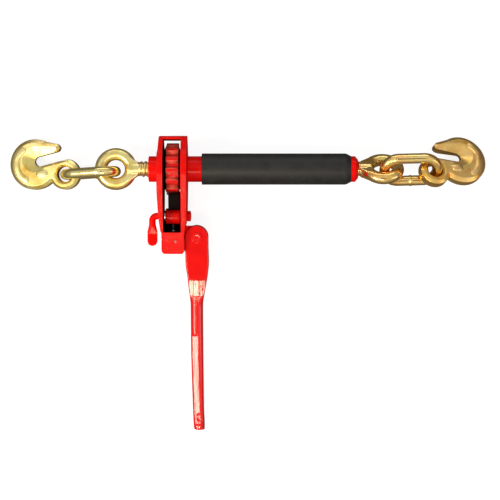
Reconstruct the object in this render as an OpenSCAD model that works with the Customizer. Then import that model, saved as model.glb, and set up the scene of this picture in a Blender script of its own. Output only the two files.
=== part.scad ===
// Ratchet load binder
// A threaded barrel is turned by a ratchet head with a folding handle.
// Each end has an eye bolt, a chain link and a grab hook.
// Sizes are in millimetres. X runs along the barrel and Z points up from the floor.

/* [Barrel] */
// Outside diameter of the barrel tube
barrel_d = 36; // [34:0.5:38]
// Inside diameter of the barrel tube
barrel_bore_d = 28; // [27:0.5:29]
// How far the tube sticks out to the left of the head centre
tube_left = 33.2; // [30:0.2:38]
// Length of each thread nut inside the tube
nut_len = 30; // [24:1:34]
// Length of the tapered flange on the right thread nut
flange_len = 9.7; // [8:0.1:12]
// Diameter of the flange at its outer end
flange_nose_d = 26; // [25:0.5:28]

/* [Grip] */
// Distance from the head centre to the start of the grip
grip_start = 41.2; // [38:0.2:42]
// Length of the grip sleeve
grip_len = 208.4; // [150:0.2:208.4]
// Wall thickness of the grip sleeve
grip_wall = 3.85; // [2.5:0.05:5]
// Length of the bevel at the right end of the grip
grip_bevel = 6.7; // [3:0.1:10]
// Bare length of the tube beyond the grip
bare_end = 0.4; // [0.2:0.1:2]

/* [Screws and eyes] */
// Outside diameter of the screw thread
screw_d = 22.4; // [21:0.2:23]
// Distance from one thread to the next
thread_pitch = 6.35; // [5:0.05:7]
// Depth of the thread
thread_depth = 1.7; // [1.2:0.1:2]
// Distance from the head centre to the left eye
left_eye_x = 79; // [77:0.5:84]
// Distance from the right end of the tube to the right eye
right_eye_reach = 44.7; // [43:0.1:50]
// Inner end of the left screw, from the head centre
left_screw_end = 104.8; // [100:0.1:108]
// Inner end of the right screw, from the head centre
right_screw_end = 121.7; // [118:0.1:126]
// Length of each screw's neck next to its eye
neck_len = 14; // [12:0.5:18]
// Hole diameter of the eye
eye_hole_d = 25; // [24.4:0.2:27]
// Thickness of the ring around the eye
eye_bar_d = 17; // [15:0.5:17]
// How far the right eye is turned about the barrel axis
right_eye_turn = 50; // [46:1:54]
// Diameter of the stop collar on each screw
stop_d = 26; // [25:0.5:26.5]
// Thickness of the stop collar
stop_t = 6; // [4:0.5:7]
// Diameter of the pin through each stop collar
stop_pin_d = 4; // [3:0.5:5]

/* [Chain links] */
// Diameter of the link bar
link_bar_d = 14.5; // [12:0.5:14.5]
// Distance between the middles of the two long bars
link_gauge = 39.2; // [39.2:0.2:42]
// Length of the straight part of each long bar
link_straight = 34.8; // [34:0.2:38]
// How much the weld bead stands out of the bar
bead_rise = 0.9; // [0.3:0.1:1.2]

/* [Grab hooks] */
// Outside diameter of the hook's eye
hook_eye_d = 43.2; // [42:0.2:43.6]
// Hole diameter of the hook's eye
hook_hole_d = 22; // [21.6:0.1:23]
// Thickness of the hook
hook_t = 18; // [16:0.5:18]
// Radius of the hook's curved back
hook_back_r = 35.6; // [34:0.2:36.4]
// Width of the slot that grabs a chain
slot_w = 14; // [11:0.1:14.2]
// Angle of the slot to the hook's length
slot_angle = 14.2; // [12:0.2:15]
// Width of the bevel around the hook's outside
hook_bevel = 5; // [3:0.5:5.5]
// Width of the hollow around the slot's seat
throat_bevel = 16; // [10:0.5:17]
// Height of the raised pads
pad_h = 0.5; // [0.3:0.1:0.8]

/* [Ratchet frame] */
// Distance between the inner faces of the two plates
frame_gap = 24.4; // [24:0.1:26]
// Outer width over the two plates
frame_w = 41.6; // [40:0.2:43]
// Radius of the round upper part of the plates
plate_r = 42; // [41:0.5:42]
// Height of the frame's top above the barrel axis
frame_top = 46.1; // [45.6:0.1:47]
// Outside diameter of the hub bosses
boss_d = 52; // [46:1:56]
// How much the hub bosses stand out of the plates
boss_h = 0.9; // [0.8:0.1:2]
// Distance from the barrel axis to the bottom of the frame
frame_drop = 118; // [117:0.5:120]
// Depth of the frame at its bottom
block_depth = 34; // [32:0.5:36]
// Distance from the barrel axis down to the top of the block
block_top = 86.7; // [86:0.1:87.5]

/* [Ratchet wheel] */
// Number of teeth
tooth_count = 14; // [14:1:14]
// Outside diameter of the wheel
wheel_d = 72.8; // [71:0.2:73]
// Diameter at the root of the teeth
wheel_root_d = 60; // [59:0.2:61]
// Width of the toothed rim
wheel_w = 17; // [14:0.5:18]
// Diameter of the wheel's hub
wheel_hub_d = 44; // [42:0.5:46]
// Side of the square key
key_w = 6; // [5:0.5:7]

/* [Pawl and lever] */
// Distance from the barrel axis to the pawl shaft
pawl_drop = 66; // [65.8:0.1:66.4]
// Diameter of the pawl shaft and the lever rod
shaft_d = 9.4; // [8.6:0.1:10]
// Diameter of the pawl hub
pawl_hub_d = 21.7; // [21:0.1:22]
// Distance from the pawl shaft to the tip of a horn
horn_reach = 40; // [39.4:0.1:40.2]
// Angle of each horn to the middle of the pawl
horn_angle = 35; // [34:0.5:36]
// Width of the pawl dog along its shaft
dog_w = 16.2; // [14:0.2:16.2]
// Width of the paddle at the end of the lever
paddle_w = 14; // [13:0.5:15.5]
// Thickness of the paddle
paddle_t = 6; // [4.5:0.5:8]
// Distance from the pawl shaft to the paddle's lower end
paddle_drop = 42; // [38:0.5:46]
// Nut on the pawl shaft, across its flats
nut_flats = 13; // [12:0.5:14]
// Thickness of that nut
nut_t = 5; // [4:0.5:6]

/* [Detent] */
// Diameter of the plunger
plunger_d = 6; // [5:0.2:6.4]
// How far the plunger can be pushed in
plunger_travel = 3; // [2:0.5:3]
// Diameter of the spring chamber in the block
chamber_d = 8; // [7.6:0.1:8.6]
// Thickness of the block above the spring chamber
chamber_roof = 8.3; // [8:0.1:9]
// Length of the plug below the spring
plug_len = 5.5; // [4:0.5:7]
// How deep the plug sits below the bottom of the block
plug_inset = 0.5; // [0.2:0.1:1]
// Number of turns of the spring
spring_turns = 6; // [4:1:7]

/* [Handle] */
// Pivot of the handle, to the right of the head centre
pivot_x = 33.7; // [33.4:0.1:34.2]
// Pivot of the handle, below the barrel axis
pivot_drop = 95.4; // [94.8:0.1:96]
// Radius of the handle's round head
head_r = 16.4; // [15.8:0.1:16.6]
// Thickness of the handle's head
head_t = 21; // [19:0.5:23]
// Thickness of the frame's lug between the two cheeks
lug_t = 10; // [8:0.5:11]
// Diameter of the pivot pin
pivot_d = 10; // [9:0.5:11]
// Diameter of the pin's rivet head
rivet_d = 14.9; // [14:0.1:17]
// Diameter of the handle tube next to the head
tube_d1 = 17.2; // [16:0.1:18]
// Diameter of the handle tube near its end
tube_d2 = 14.9; // [14:0.1:16]
// Distance from the barrel axis to the end of the handle
handle_end = 370; // [340:1:372]
// Lean of the handle tube to the right
tube_lean = 1; // [0:0.1:1.5]

/* [Rest position] */
// Turn of the head about the barrel axis, so that the handle's end lies on the floor
head_roll = 5.34; // [5.2:0.02:5.5]
// Distance from the left eye to the middle of the left link
left_link_reach = 36.4; // [36.2:0.1:36.6]
// How far the left link lies below the barrel axis
left_link_drop = 9; // [8.8:0.1:9.2]
// How far the left link lies in front of the barrel axis
left_link_front = 5.05; // [4.95:0.05:5.15]
// Slope of the left link
left_link_pitch = 20; // [19.5:0.1:20.5]
// Turn of the left link to the side
left_link_yaw = 3; // [2.8:0.1:3.2]
// Distance from the right eye to the middle of the right link
right_link_reach = 38.7; // [38.5:0.1:38.9]
// How far the right link lies above the barrel axis
right_link_rise = 4.2; // [4:0.1:4.4]
// How far the right link lies in front of the barrel axis
right_link_front = 0.9; // [0.8:0.05:1]
// Slope of the right link
right_link_pitch = 0.4; // [0.2:0.1:0.6]
// Turn of the right link to the side
right_link_yaw = 1.6; // [1.4:0.1:1.8]
// Turn of the right link about its length
right_link_turn = 41; // [40.5:0.1:41.5]
// Distance from the left eye to the eye of the left hook
left_hook_reach = 72.3; // [72.1:0.1:72.5]
// How far the eye of the left hook lies below the barrel axis
left_hook_drop = 19.8; // [19.7:0.05:19.9]
// How far the eye of the left hook lies in front of the barrel axis
left_hook_front = 6.45; // [6.35:0.05:6.55]
// Slope of the left hook
left_hook_pitch = 9.8; // [9.7:0.1:9.9]
// Distance from the right eye to the eye of the right hook
right_hook_reach = 71.7; // [71.5:0.1:71.9]
// How far the eye of the right hook lies above the barrel axis
right_hook_rise = 0.4; // [0.2:0.1:0.6]
// How far the eye of the right hook lies in front of the barrel axis
right_hook_front = 3.7; // [3.6:0.05:3.8]
// Slope of the right hook
right_hook_pitch = 18.4; // [18.3:0.1:18.5]
// Turn of the right hook to the side
right_hook_yaw = 3.9; // [3.7:0.1:4.1]
// Turn of the right hook about its length
right_hook_turn = 23; // [22.8:0.1:23.2]

/* [Clearances] */
// Radial clearance of turning and sliding fits
run_gap = 0.05; // [0.02:0.01:0.1]
// Radial clearance of pressed and screwed fits
seat_gap = 0.02; // [0.01:0.01:0.03]
// Gap beside parts that move past each other
side_gap = 0.3; // [0.3:0.05:0.4]

/* [Hidden] */
$fn = 96;
eps = 0.01;
// The head centre in the part's frame
head_x = -105.26;
head_y = 160.67;
axis_h = plate_r;
barrel_r = barrel_d / 2;
bore_r = barrel_bore_d / 2;
screw_r = screw_d / 2;
nut_r = bore_r - seat_gap;
nut_bore_r = screw_r + run_gap;
tube_right = grip_start + grip_len + bare_end;
flange_end = tube_right + flange_len;
right_eye_x = tube_right + right_eye_reach;
eye_bar_r = eye_bar_d / 2;
eye_r = eye_hole_d / 2 + eye_bar_r;
link_r = link_bar_d / 2;
link_bend = link_gauge / 2;
plate_in = frame_gap / 2;
plate_out = frame_w / 2;
boss_out = plate_out + boss_h;
// How far the crown of the left plate is ground in
crown_inset = 2.2;
wheel_x = 0.8;
wheel_hub_half = plate_in - side_gap;
tooth_step = 360 / tooth_count;
shaft_r = shaft_d / 2;
pawl_hub_r = pawl_hub_d / 2;
plunger_r = plunger_d / 2;
plunger_x = 1;
plunger_tip = pawl_drop + pawl_hub_r + side_gap;
chamber_top = block_top + chamber_roof;
flange_t = 2;
plug_top = frame_drop - plug_inset - plug_len;
bushing_r = 4.6;
bushing_y = -block_top - 1.8;
block_pin_r = 1.6;
block_pin_x = 4.5;
block_pin_y = 18 - frame_drop;
tube_start = 188;

// Places its children at the head centre on the barrel axis
module at_axis() {
    translate([head_x, head_y, axis_h])
        children();
}

// Places its children in the head, which is turned a little about the barrel axis
module in_head() {
    at_axis()
        rotate([head_roll, 0, 0])
            children();
}

// Turns a shape drawn about Z so that it runs along X from x
module along_x(x) {
    translate([x, 0, 0])
        rotate([0, 90, 0])
            children();
}

// Turns a shape drawn about Z so that it runs along Y, upwards from y
module along_y(x, y) {
    translate([x, y, 0])
        rotate([-90, 0, 0])
            children();
}

// Extrudes a side view, drawn as (y, z), from x1 to x2
module side_slab(x1, x2) {
    translate([x1, 0, 0])
        rotate([90, 0, 90])
            linear_extrude(height = x2 - x1)
                children();
}

// A plain tube drawn about Z
module ring(r_out, r_in, h) {
    difference() {
        cylinder(r = r_out, h = h);
        translate([0, 0, -1])
            cylinder(r = r_in, h = h + 2);
    }
}

// --- Ratchet frame ---

// The round plates seen from the side, narrowing to the block
module plate_outline() {
    low_y = -frame_drop;
    low_z = block_depth / 2;
    low_a = atan2(low_z, low_y) - acos(plate_r / norm([low_y, low_z]));
    top_z = 13;
    top_a = atan2(top_z, frame_top) + acos(plate_r / norm([frame_top, top_z]));
    circle(r = plate_r);
    polygon([
        [plate_r * cos(low_a), plate_r * sin(low_a)],
        [low_y, low_z],
        [low_y, -low_z],
        [plate_r * cos(low_a), -plate_r * sin(low_a)],
        [plate_r * cos(top_a), -plate_r * sin(top_a)],
        [frame_top, -top_z],
        [frame_top, top_z],
        [plate_r * cos(top_a), plate_r * sin(top_a)]
    ]);
}

// The frame seen from the front
module frame_front() {
    left = 15;
    right = 17.2;
    corner = 3.5;
    low = -frame_drop;
    taper_top = -30;
    crown_start = 4;
    neck = -block_top + 1.7;
    polygon([
        [-plate_out + crown_inset, frame_top + 1],
        [-plate_out, crown_start],
        [-plate_out, taper_top],
        [-plate_out + 1.9, -pawl_drop],
        [-plate_out + 4.4, neck],
        [-left, neck - 3],
        [-left, -95.8],
        [-left + 1.2, -97],
        [-left, -98.2],
        [-left, low + corner],
        [-left + corner, low],
        [right - corner, low],
        [right, low + corner],
        [right, neck - 3],
        [plate_out - 2.2, -79],
        [plate_out - 0.5, -pawl_drop - 6],
        [plate_out, taper_top],
        [plate_out, frame_top + 1]
    ]);
}

// The lug that the handle turns on
module frame_lug() {
    lug_top = -79.7;
    difference() {
        union() {
            translate([pivot_x, -pivot_drop, -lug_t / 2])
                cylinder(r = head_r, h = lug_t);
            translate([0, 0, -lug_t / 2])
                linear_extrude(height = lug_t)
                    polygon([
                        [14, lug_top],
                        [pivot_x - 4, lug_top],
                        [pivot_x, lug_top - 3],
                        [pivot_x, -pivot_drop - head_r],
                        [14, -pivot_drop - head_r]
                    ]);
        }
        translate([pivot_x, -pivot_drop, -lug_t])
            cylinder(r = pivot_d / 2 + run_gap, h = 2 * lug_t);
    }
}

module ratchet_frame() {
    relief_r = head_r + 0.7;
    bridge_r = plate_r + 0.4;
    ledge_h = 12.2;
    ledge_t = 7.5;
    color("firebrick")
    in_head()
    difference() {
        union() {
            difference() {
                intersection() {
                    side_slab(-plate_out - 1, plate_out + 1)
                        plate_outline();
                    translate([0, 0, -plate_r - 1])
                        linear_extrude(height = 2 * plate_r + 2)
                            frame_front();
                }
                // Open space between the plates
                translate([-plate_in, -block_top, -plate_r - 2])
                    cube([frame_gap, block_top + frame_top + 2, 2 * plate_r + 4]);
                // Room for the cheeks of the handle
                for (z = [lug_t / 2, -block_depth - lug_t / 2])
                    translate([pivot_x, -pivot_drop, z])
                        cylinder(r = relief_r, h = block_depth);
            }
            // Bridge over the wheel
            difference() {
                intersection() {
                    side_slab(-plate_in - 1, plate_in + 1)
                        plate_outline();
                    translate([-plate_in - 1, 30, -14.5])
                        cube([frame_gap + 2, 30, 29]);
                }
                along_x(-plate_in - 2)
                    cylinder(r = bridge_r, h = frame_gap + 4);
            }
            // Ledge that closes the pocket behind the pawl hub
            translate([-plate_in - 1, -block_top - 1, -block_depth / 2])
                cube([frame_gap + 2, ledge_h + 1, ledge_t]);
            for (x = [-boss_out, plate_out - crown_inset])
                along_x(x)
                    cylinder(d = boss_d, h = boss_h + crown_inset);
            frame_lug();
        }
        along_x(-boss_out - 1)
            cylinder(r = barrel_r + run_gap, h = 2 * boss_out + 2);
        translate([0, -pawl_drop, 0])
            along_x(-boss_out - 1)
                cylinder(r = shaft_r + run_gap, h = 2 * boss_out + 2);
        // Bushing seat, plunger bore, spring chamber and plug seat
        along_y(plunger_x, bushing_y)
            cylinder(r = bushing_r + seat_gap, h = 5);
        along_y(plunger_x, -chamber_top - 1)
            cylinder(r = plunger_r + run_gap, h = 10);
        along_y(plunger_x, -frame_drop - 1)
            cylinder(r = chamber_d / 2, h = frame_drop + 1 - chamber_top);
        along_y(plunger_x, -frame_drop - 1)
            cylinder(r = chamber_d / 2 + 0.6 + seat_gap, h = frame_drop + 1 - plug_top);
        // Seat of the small pin in the front face
        translate([block_pin_x, block_pin_y, 9])
            cylinder(r = block_pin_r + seat_gap, h = 20);
    }
}

// --- Barrel, nuts, grip, wheel and key ---

module barrel_tube() {
    color("crimson")
    at_axis()
    difference() {
        along_x(-tube_left)
            rotate_extrude()
                polygon([
                    [bore_r, 0],
                    [barrel_r - 1, 0],
                    [barrel_r, 1],
                    [barrel_r, tube_left + tube_right],
                    [bore_r, tube_left + tube_right]
                ]);
        rotate([head_roll, 0, 0])
            key_slot();
    }
}

// Room for the key in the barrel and the wheel
module key_slot() {
    half = key_w / 2 + seat_gap;
    translate([-wheel_hub_half, barrel_r - key_w / 2, -half])
        cube([2 * wheel_hub_half, key_w / 2 + key_w / 2, 2 * half]);
}

module wheel_key() {
    color("dimgray")
    in_head()
    translate([-wheel_hub_half + seat_gap, barrel_r - key_w / 2 + seat_gap, -key_w / 2])
        cube([2 * (wheel_hub_half - seat_gap), key_w - 2 * seat_gap, key_w]);
}

module thread_nut(len) {
    ring(nut_r, nut_bore_r, len);
}

module left_thread_nut() {
    color("indianred")
    at_axis()
        along_x(-tube_left)
            thread_nut(nut_len);
}

module right_thread_nut() {
    rim = flange_len * 0.58;
    color("indianred")
    at_axis()
        along_x(flange_end - nut_len)
            rotate_extrude()
                polygon([
                    [nut_bore_r, 0],
                    [nut_r, 0],
                    [nut_r, nut_len - flange_len + seat_gap],
                    [barrel_r, nut_len - flange_len + seat_gap],
                    [barrel_r, nut_len - flange_len + rim],
                    [flange_nose_d / 2, nut_len],
                    [nut_bore_r, nut_len]
                ]);
}

module barrel_grip() {
    r_in = barrel_r + seat_gap;
    r_out = barrel_r + grip_wall;
    end_wall = max(grip_wall - 3.7, 0.15);
    color("dimgray")
    at_axis()
        along_x(grip_start)
            rotate_extrude()
                polygon([
                    [r_in, 0],
                    [r_out - 0.8, 0],
                    [r_out, 0.8],
                    [r_out, grip_len - grip_bevel],
                    [barrel_r + end_wall, grip_len],
                    [r_in, grip_len]
                ]);
}

// One tooth, drawn about the angle a
function tooth(a) = let (
        tip = wheel_d / 2,
        root = wheel_root_d / 2,
        tip_half = 4.2,
        root_half = 8.2
    ) [
        [root * cos(a - root_half), root * sin(a - root_half)],
        [tip * cos(a - tip_half), tip * sin(a - tip_half)],
        [tip * cos(a + tip_half), tip * sin(a + tip_half)],
        [root * cos(a + root_half), root * sin(a + root_half)]
    ];

module ratchet_wheel() {
    chamfer = 1.5;
    half = wheel_w / 2;
    r = wheel_d / 2;
    color("slategray")
    in_head()
    difference() {
        union() {
            intersection() {
                side_slab(wheel_x - half, wheel_x + half)
                    polygon([
                        for (i = [0:tooth_count - 1])
                            each tooth(90 + i * tooth_step)
                    ]);
                along_x(wheel_x - half)
                    rotate_extrude()
                        polygon([
                            [0, 0],
                            [r - chamfer, 0],
                            [r + 0.1, chamfer],
                            [r + 0.1, wheel_w - chamfer],
                            [r - chamfer, wheel_w],
                            [0, wheel_w]
                        ]);
            }
            along_x(-wheel_hub_half)
                cylinder(d = wheel_hub_d, h = 2 * wheel_hub_half);
        }
        along_x(-plate_in)
            cylinder(r = barrel_r + seat_gap, h = frame_gap);
        key_slot();
    }
}

// --- Screws, eyes and stop collars ---

// Outline of a threaded rod with its grooves, from the axis outwards
function thread_outline(len, turns) = concat(
        [[0, 0], [screw_r - thread_depth, 0]],
        [
            for (i = [0:turns - 1])
                each [
                    [screw_r, i * thread_pitch + 1.3],
                    [screw_r, i * thread_pitch + 3.2],
                    [screw_r - thread_depth, i * thread_pitch + 4.5],
                    [screw_r - thread_depth, (i + 1) * thread_pitch]
                ]
        ],
        [[screw_r - thread_depth, len], [0, len]]
    );

// An eye bolt along +X from its inner end at 0 to its eye at x
module eye_bolt(x, turn) {
    neck_end = x - eye_r + eye_bar_r * 0.6;
    thread_len = x - eye_r - neck_len + 8;
    turns = floor(thread_len / thread_pitch);
    neck_r = screw_r - thread_depth + 0.6;
    difference() {
        union() {
            along_x(0)
                rotate_extrude()
                    polygon(thread_outline(turns * thread_pitch + 1, turns));
            along_x(turns * thread_pitch)
                cylinder(r = neck_r, h = neck_end - turns * thread_pitch);
            rotate([turn, 0, 0]) {
                translate([x, 0, 0])
                    rotate_extrude()
                        translate([eye_r, 0])
                            circle(r = eye_bar_r);
                translate([0, 0, -eye_bar_r * 0.9])
                    linear_extrude(height = eye_bar_r * 1.8)
                        polygon([
                            [x - eye_r - eye_bar_r - 2, neck_r * 0.9],
                            [x - eye_r - eye_bar_r - 2, -neck_r * 0.9],
                            [x - eye_r + 3, -eye_r * 0.86],
                            [x - eye_r + 3, eye_r * 0.86]
                        ]);
            }
        }
        rotate([turn, 0, 0])
            translate([x, 0, -eye_bar_r - 1])
                cylinder(r = eye_hole_d / 2, h = 2 * eye_bar_r + 2);
        // Hole for the pin of the stop collar
        translate([stop_t / 2, 0, -screw_r - 1])
            cylinder(d = stop_pin_d + 2 * seat_gap, h = 2 * screw_r + 2);
    }
}

module stop_collar() {
    difference() {
        ring(stop_d / 2, screw_r + seat_gap, stop_t);
        translate([0, -stop_d, stop_t / 2])
            rotate([-90, 0, 0])
                cylinder(d = stop_pin_d + 2 * seat_gap, h = 2 * stop_d);
    }
}

module stop_pin() {
    cylinder(d = stop_pin_d, h = stop_d - 1, center = true);
}

module left_eye_bolt() {
    color("goldenrod")
    at_axis()
        translate([left_screw_end, 0, 0])
            rotate([0, 180, 0])
                eye_bolt(left_screw_end + left_eye_x, 0);
}

module right_eye_bolt() {
    color("goldenrod")
    at_axis()
        translate([right_screw_end, 0, 0])
            eye_bolt(right_eye_x - right_screw_end, -right_eye_turn);
}

module left_stop_collar() {
    color("gray")
    at_axis()
        along_x(left_screw_end - stop_t)
            rotate([0, 0, 90])
                stop_collar();
}

module right_stop_collar() {
    color("gray")
    at_axis()
        along_x(right_screw_end)
            rotate([0, 0, 90])
                stop_collar();
}

module left_stop_pin() {
    color("silver")
    at_axis()
        translate([left_screw_end - stop_t / 2, 0, 0])
            stop_pin();
}

module right_stop_pin() {
    color("silver")
    at_axis()
        translate([right_screw_end + stop_t / 2, 0, 0])
            stop_pin();
}

// --- Chain links ---

// One welded link lying flat, long way along X
module chain_link() {
    half = link_straight / 2;
    bead_half = 1.6;
    for (side = [0, 180])
        rotate([0, 0, side]) {
            translate([half, 0, 0])
                rotate([0, 0, -90])
                    rotate_extrude(angle = 180)
                        translate([link_bend, 0])
                            circle(r = link_r);
            translate([0, link_bend, 0])
                along_x(-half)
                    cylinder(r = link_r, h = link_straight);
        }
    translate([0, -link_bend, 0])
        along_x(-bead_half - 1)
            rotate_extrude()
                polygon([
                    [0, 0],
                    [link_r - eps, 0],
                    [link_r + bead_rise, 1],
                    [link_r + bead_rise, 2 * bead_half + 1],
                    [link_r - eps, 2 * bead_half + 2],
                    [0, 2 * bead_half + 2]
                ]);
}

module left_link() {
    color("darkgoldenrod")
    at_axis()
        translate([-left_eye_x - left_link_reach, -left_link_front, -left_link_drop])
            rotate([0, 0, left_link_yaw])
                rotate([0, -left_link_pitch, 0])
                    rotate([90, 0, 0])
                        chain_link();
}

module right_link() {
    color("darkgoldenrod")
    at_axis()
        translate([right_eye_x + right_link_reach, -right_link_front, right_link_rise])
            rotate([0, 0, right_link_yaw])
                rotate([0, right_link_pitch, 0])
                    rotate([right_link_turn, 0, 0])
                        chain_link();
}

// --- Grab hooks ---

// A flat disc with a bevel around each face
module bevel_disc(r, t, bevel) {
    rise = bevel * 0.8;
    rotate_extrude()
        polygon([
            [0, -t / 2],
            [r - bevel, -t / 2],
            [r, -t / 2 + rise],
            [r, t / 2 - rise],
            [r - bevel, t / 2],
            [0, t / 2]
        ]);
}

// A convex slab with a bevel around each face
module bevel_slab(outer, inner, t, bevel) {
    hull() {
        linear_extrude(height = t - 1.6 * bevel, center = true)
            polygon(outer);
        linear_extrude(height = t, center = true)
            polygon(inner);
    }
}

// A grab hook with its eye at the origin, pointing along +X and opening back towards its eye
module grab_hook() {
    back = [44.1, 14];
    seat = [37, 18];
    hollow = [43, 20.6];
    hollow_r = 2;
    slot_r = slot_w / 2;
    seat_half = 3;
    pad_r = 25.2;
    b = hook_bevel;
    hole_r = hook_hole_d / 2;
    face = hook_t / 2;
    hollow_top = hollow_r + (face + 1 - seat_half) * throat_bevel / (face - seat_half);
    difference() {
        union() {
            translate(back)
                bevel_disc(hook_back_r, hook_t, b);
            bevel_disc(hook_eye_d / 2, hook_t, b * 0.8);
            // Shank between the eye and the back
            bevel_slab(
                [[2, -9], [17.3, -9], [40, -8], [46, 16], [0, 20.8]],
                [[4, -6], [17.3, -6], [38, -6], [44, 14], [4, 18.2]],
                hook_t, 4);
            // Arm with the tip
            bevel_slab(
                [[11.4, 42.6], [36, 47.8], [48, 46], [48, 20], [40, 24], [11.4, 31.4], [8.6, 33.4],
                    [7.2, 36.9], [8.5, 40.3]],
                [[15.4, 38.2], [36.9, 43.4], [44, 43], [44, 26], [40, 28], [15.4, 34.8], [13.6, 35.4],
                    [13, 36.4], [13.6, 37.6]],
                hook_t, b);
            // Raised pads on both faces
            for (side = [-1, 1])
                translate([0, 0, side * face - pad_h]) {
                    translate(back)
                        rotate([0, 0, -68])
                            rotate_extrude(angle = 124)
                                translate([pad_r - 4.2, 0])
                                    square([8.4, 2 * pad_h]);
                    for (end = [-1, 1])
                        translate([32 + 3 * end, 0.4 - 0.4 * end, 0])
                            cylinder(r = 5, h = 2 * pad_h);
                    translate([32 - 3, -4.6, 0])
                        cube([6, 10, 2 * pad_h]);
                }
        }
        // Eye hole with rounded lips
        translate([0, 0, -hook_t])
            cylinder(r = hole_r, h = 2 * hook_t);
        for (side = [0, 180])
            rotate([side, 0, 0])
                translate([0, 0, face - 3])
                    cylinder(r1 = hole_r, r2 = hole_r + 4, h = 4);
        // Slot with its seat
        translate([seat[0], seat[1], -hook_t])
            cylinder(r = slot_r, h = 2 * hook_t);
        translate([seat[0], seat[1], 0])
            rotate([0, 0, 180 - slot_angle])
                translate([0, -slot_r, -hook_t])
                    cube([60, slot_w, 2 * hook_t]);
        // Hollow around the seat, slope under the arm and bevel on the shank
        for (side = [0, 1])
            mirror([0, 0, side]) {
                translate([hollow[0], hollow[1], seat_half])
                    cylinder(r1 = hollow_r, r2 = hollow_top, h = face + 1 - seat_half);
                translate([-5, hollow[1], 0])
                    rotate([90, 0, 90])
                        linear_extrude(height = hollow[0] + 5)
                            polygon([
                                [hollow_r, seat_half],
                                [hollow_top, face + 1],
                                [seat[1] - hollow[1], face + 1],
                                [seat[1] - hollow[1], seat_half + 2]
                            ]);
                translate([seat[0], seat[1], 0])
                    rotate([0, 0, 180 - slot_angle])
                        rotate([90, 0, 90])
                            linear_extrude(height = 60)
                                polygon([
                                    [0, face - 3],
                                    [slot_r, face - 3],
                                    [slot_r + 4, face + 1],
                                    [0, face + 1]
                                ]);
            }
    }
}

module left_hook() {
    color("gold")
    at_axis()
        translate([-left_eye_x - left_hook_reach, -left_hook_front, -left_hook_drop])
            rotate([0, -left_hook_pitch, 0])
                rotate([0, 180, 0])
                    grab_hook();
}

module right_hook() {
    color("gold")
    at_axis()
        translate([right_eye_x + right_hook_reach, -right_hook_front, right_hook_rise])
            rotate([0, 0, right_hook_yaw])
                rotate([0, right_hook_pitch, 0])
                    rotate([-right_hook_turn, 0, 0])
                        grab_hook();
}

// --- Pawl, shaft and lever ---

module pawl_hub() {
    color("firebrick")
    in_head()
        translate([0, -pawl_drop, 0])
            along_x(-9.5)
                rotate_extrude()
                    polygon([
                        [shaft_r + seat_gap, 0],
                        [pawl_hub_r - 1, 0],
                        [pawl_hub_r, 1],
                        [pawl_hub_r, 19.4],
                        [pawl_hub_r - 1, 20.4],
                        [shaft_r + seat_gap, 20.4]
                    ]);
}

// A point at radius r and angle a from the pawl's middle line, as (y, z)
function pawl_at(r, a) = [r * cos(a), r * sin(a)];

// One horn from the pawl's foot to its middle line, as radius and angle
function horn_outline(foot, reach, a) = [
        [foot, a],
        [foot + 3.6, a + 1],
        [21, a + 24],
        [26, a + 17],
        [30, a + 11.5],
        [33, a + 7.5],
        [reach - 3, a + 3.8],
        [reach - 0.3, a + 0.8],
        [reach, a - 0.2],
        [reach, a - 2.4],
        [reach - 3, a - 1.4],
        [33, a + 0.5],
        [30.5, a + 0.5],
        [27, a - 4],
        [24.5, a - 14],
        [23.2, 0]
    ];

module pawl_dog() {
    horn = horn_outline(pawl_hub_r - 1, horn_reach, horn_angle);
    last = len(horn) - 1;
    color("darkslategray")
    in_head()
        translate([0, -pawl_drop, 0])
            difference() {
                side_slab(11 - dog_w, 11)
                    polygon(concat(
                        [for (p = horn) pawl_at(p[0], p[1])],
                        [for (i = [last - 1:-1:0]) pawl_at(horn[i][0], -horn[i][1])]
                    ));
                along_x(-boss_out)
                    cylinder(r = pawl_hub_r + seat_gap, h = 2 * boss_out);
            }
}

module pawl_lever() {
    bend_r = 6.4;
    rod_end = -22;
    down_x = rod_end - bend_r;
    half = paddle_w / 2;
    corner = 6;
    color("crimson")
    in_head()
        translate([0, -pawl_drop, 0]) {
            along_x(rod_end)
                cylinder(r = shaft_r, h = plate_out + 5.4 - rod_end);
            translate([rod_end, -bend_r, 0])
                rotate([0, 0, 90])
                    rotate_extrude(angle = 90)
                        translate([bend_r, 0])
                            circle(r = shaft_r);
            along_y(down_x, -14)
                cylinder(r = shaft_r, h = 14 - bend_r);
            // Paddle, widening from the rod
            hull() {
                along_y(down_x, -14)
                    cylinder(r = shaft_r, h = 2, $fn = 32);
                translate([down_x - half, -25, -paddle_t / 2])
                    cube([paddle_w, 3, paddle_t]);
            }
            translate([down_x, 0, -paddle_t / 2])
                linear_extrude(height = paddle_t)
                    polygon([
                        [-half, -22.5],
                        [half, -22.5],
                        [half, -paddle_drop + corner],
                        [half - 1.8, -paddle_drop + 1.8],
                        [half - corner, -paddle_drop],
                        [corner - half, -paddle_drop],
                        [1.8 - half, -paddle_drop + 1.8],
                        [-half, -paddle_drop + corner]
                    ]);
        }
}

module pawl_shaft_nut() {
    color("maroon")
    in_head()
        translate([0, -pawl_drop, 0])
            along_x(plate_out - 0.2)
                difference() {
                    rotate([0, 0, 30])
                        linear_extrude(height = nut_t)
                            circle(d = nut_flats / cos(30), $fn = 6);
                    translate([0, 0, -1])
                        cylinder(r = shaft_r + seat_gap, h = nut_t + 2);
                }
}

module pawl_washers() {
    left_end = -9.5 - side_gap;
    right_start = 10.9 + side_gap;
    color("silver")
    in_head()
        translate([0, -pawl_drop, 0]) {
            along_x(-wheel_hub_half)
                ring(8, shaft_r + seat_gap, wheel_hub_half + left_end);
            along_x(right_start)
                ring(8, shaft_r + seat_gap, wheel_hub_half - right_start);
        }
}

// --- Detent ---

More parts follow.
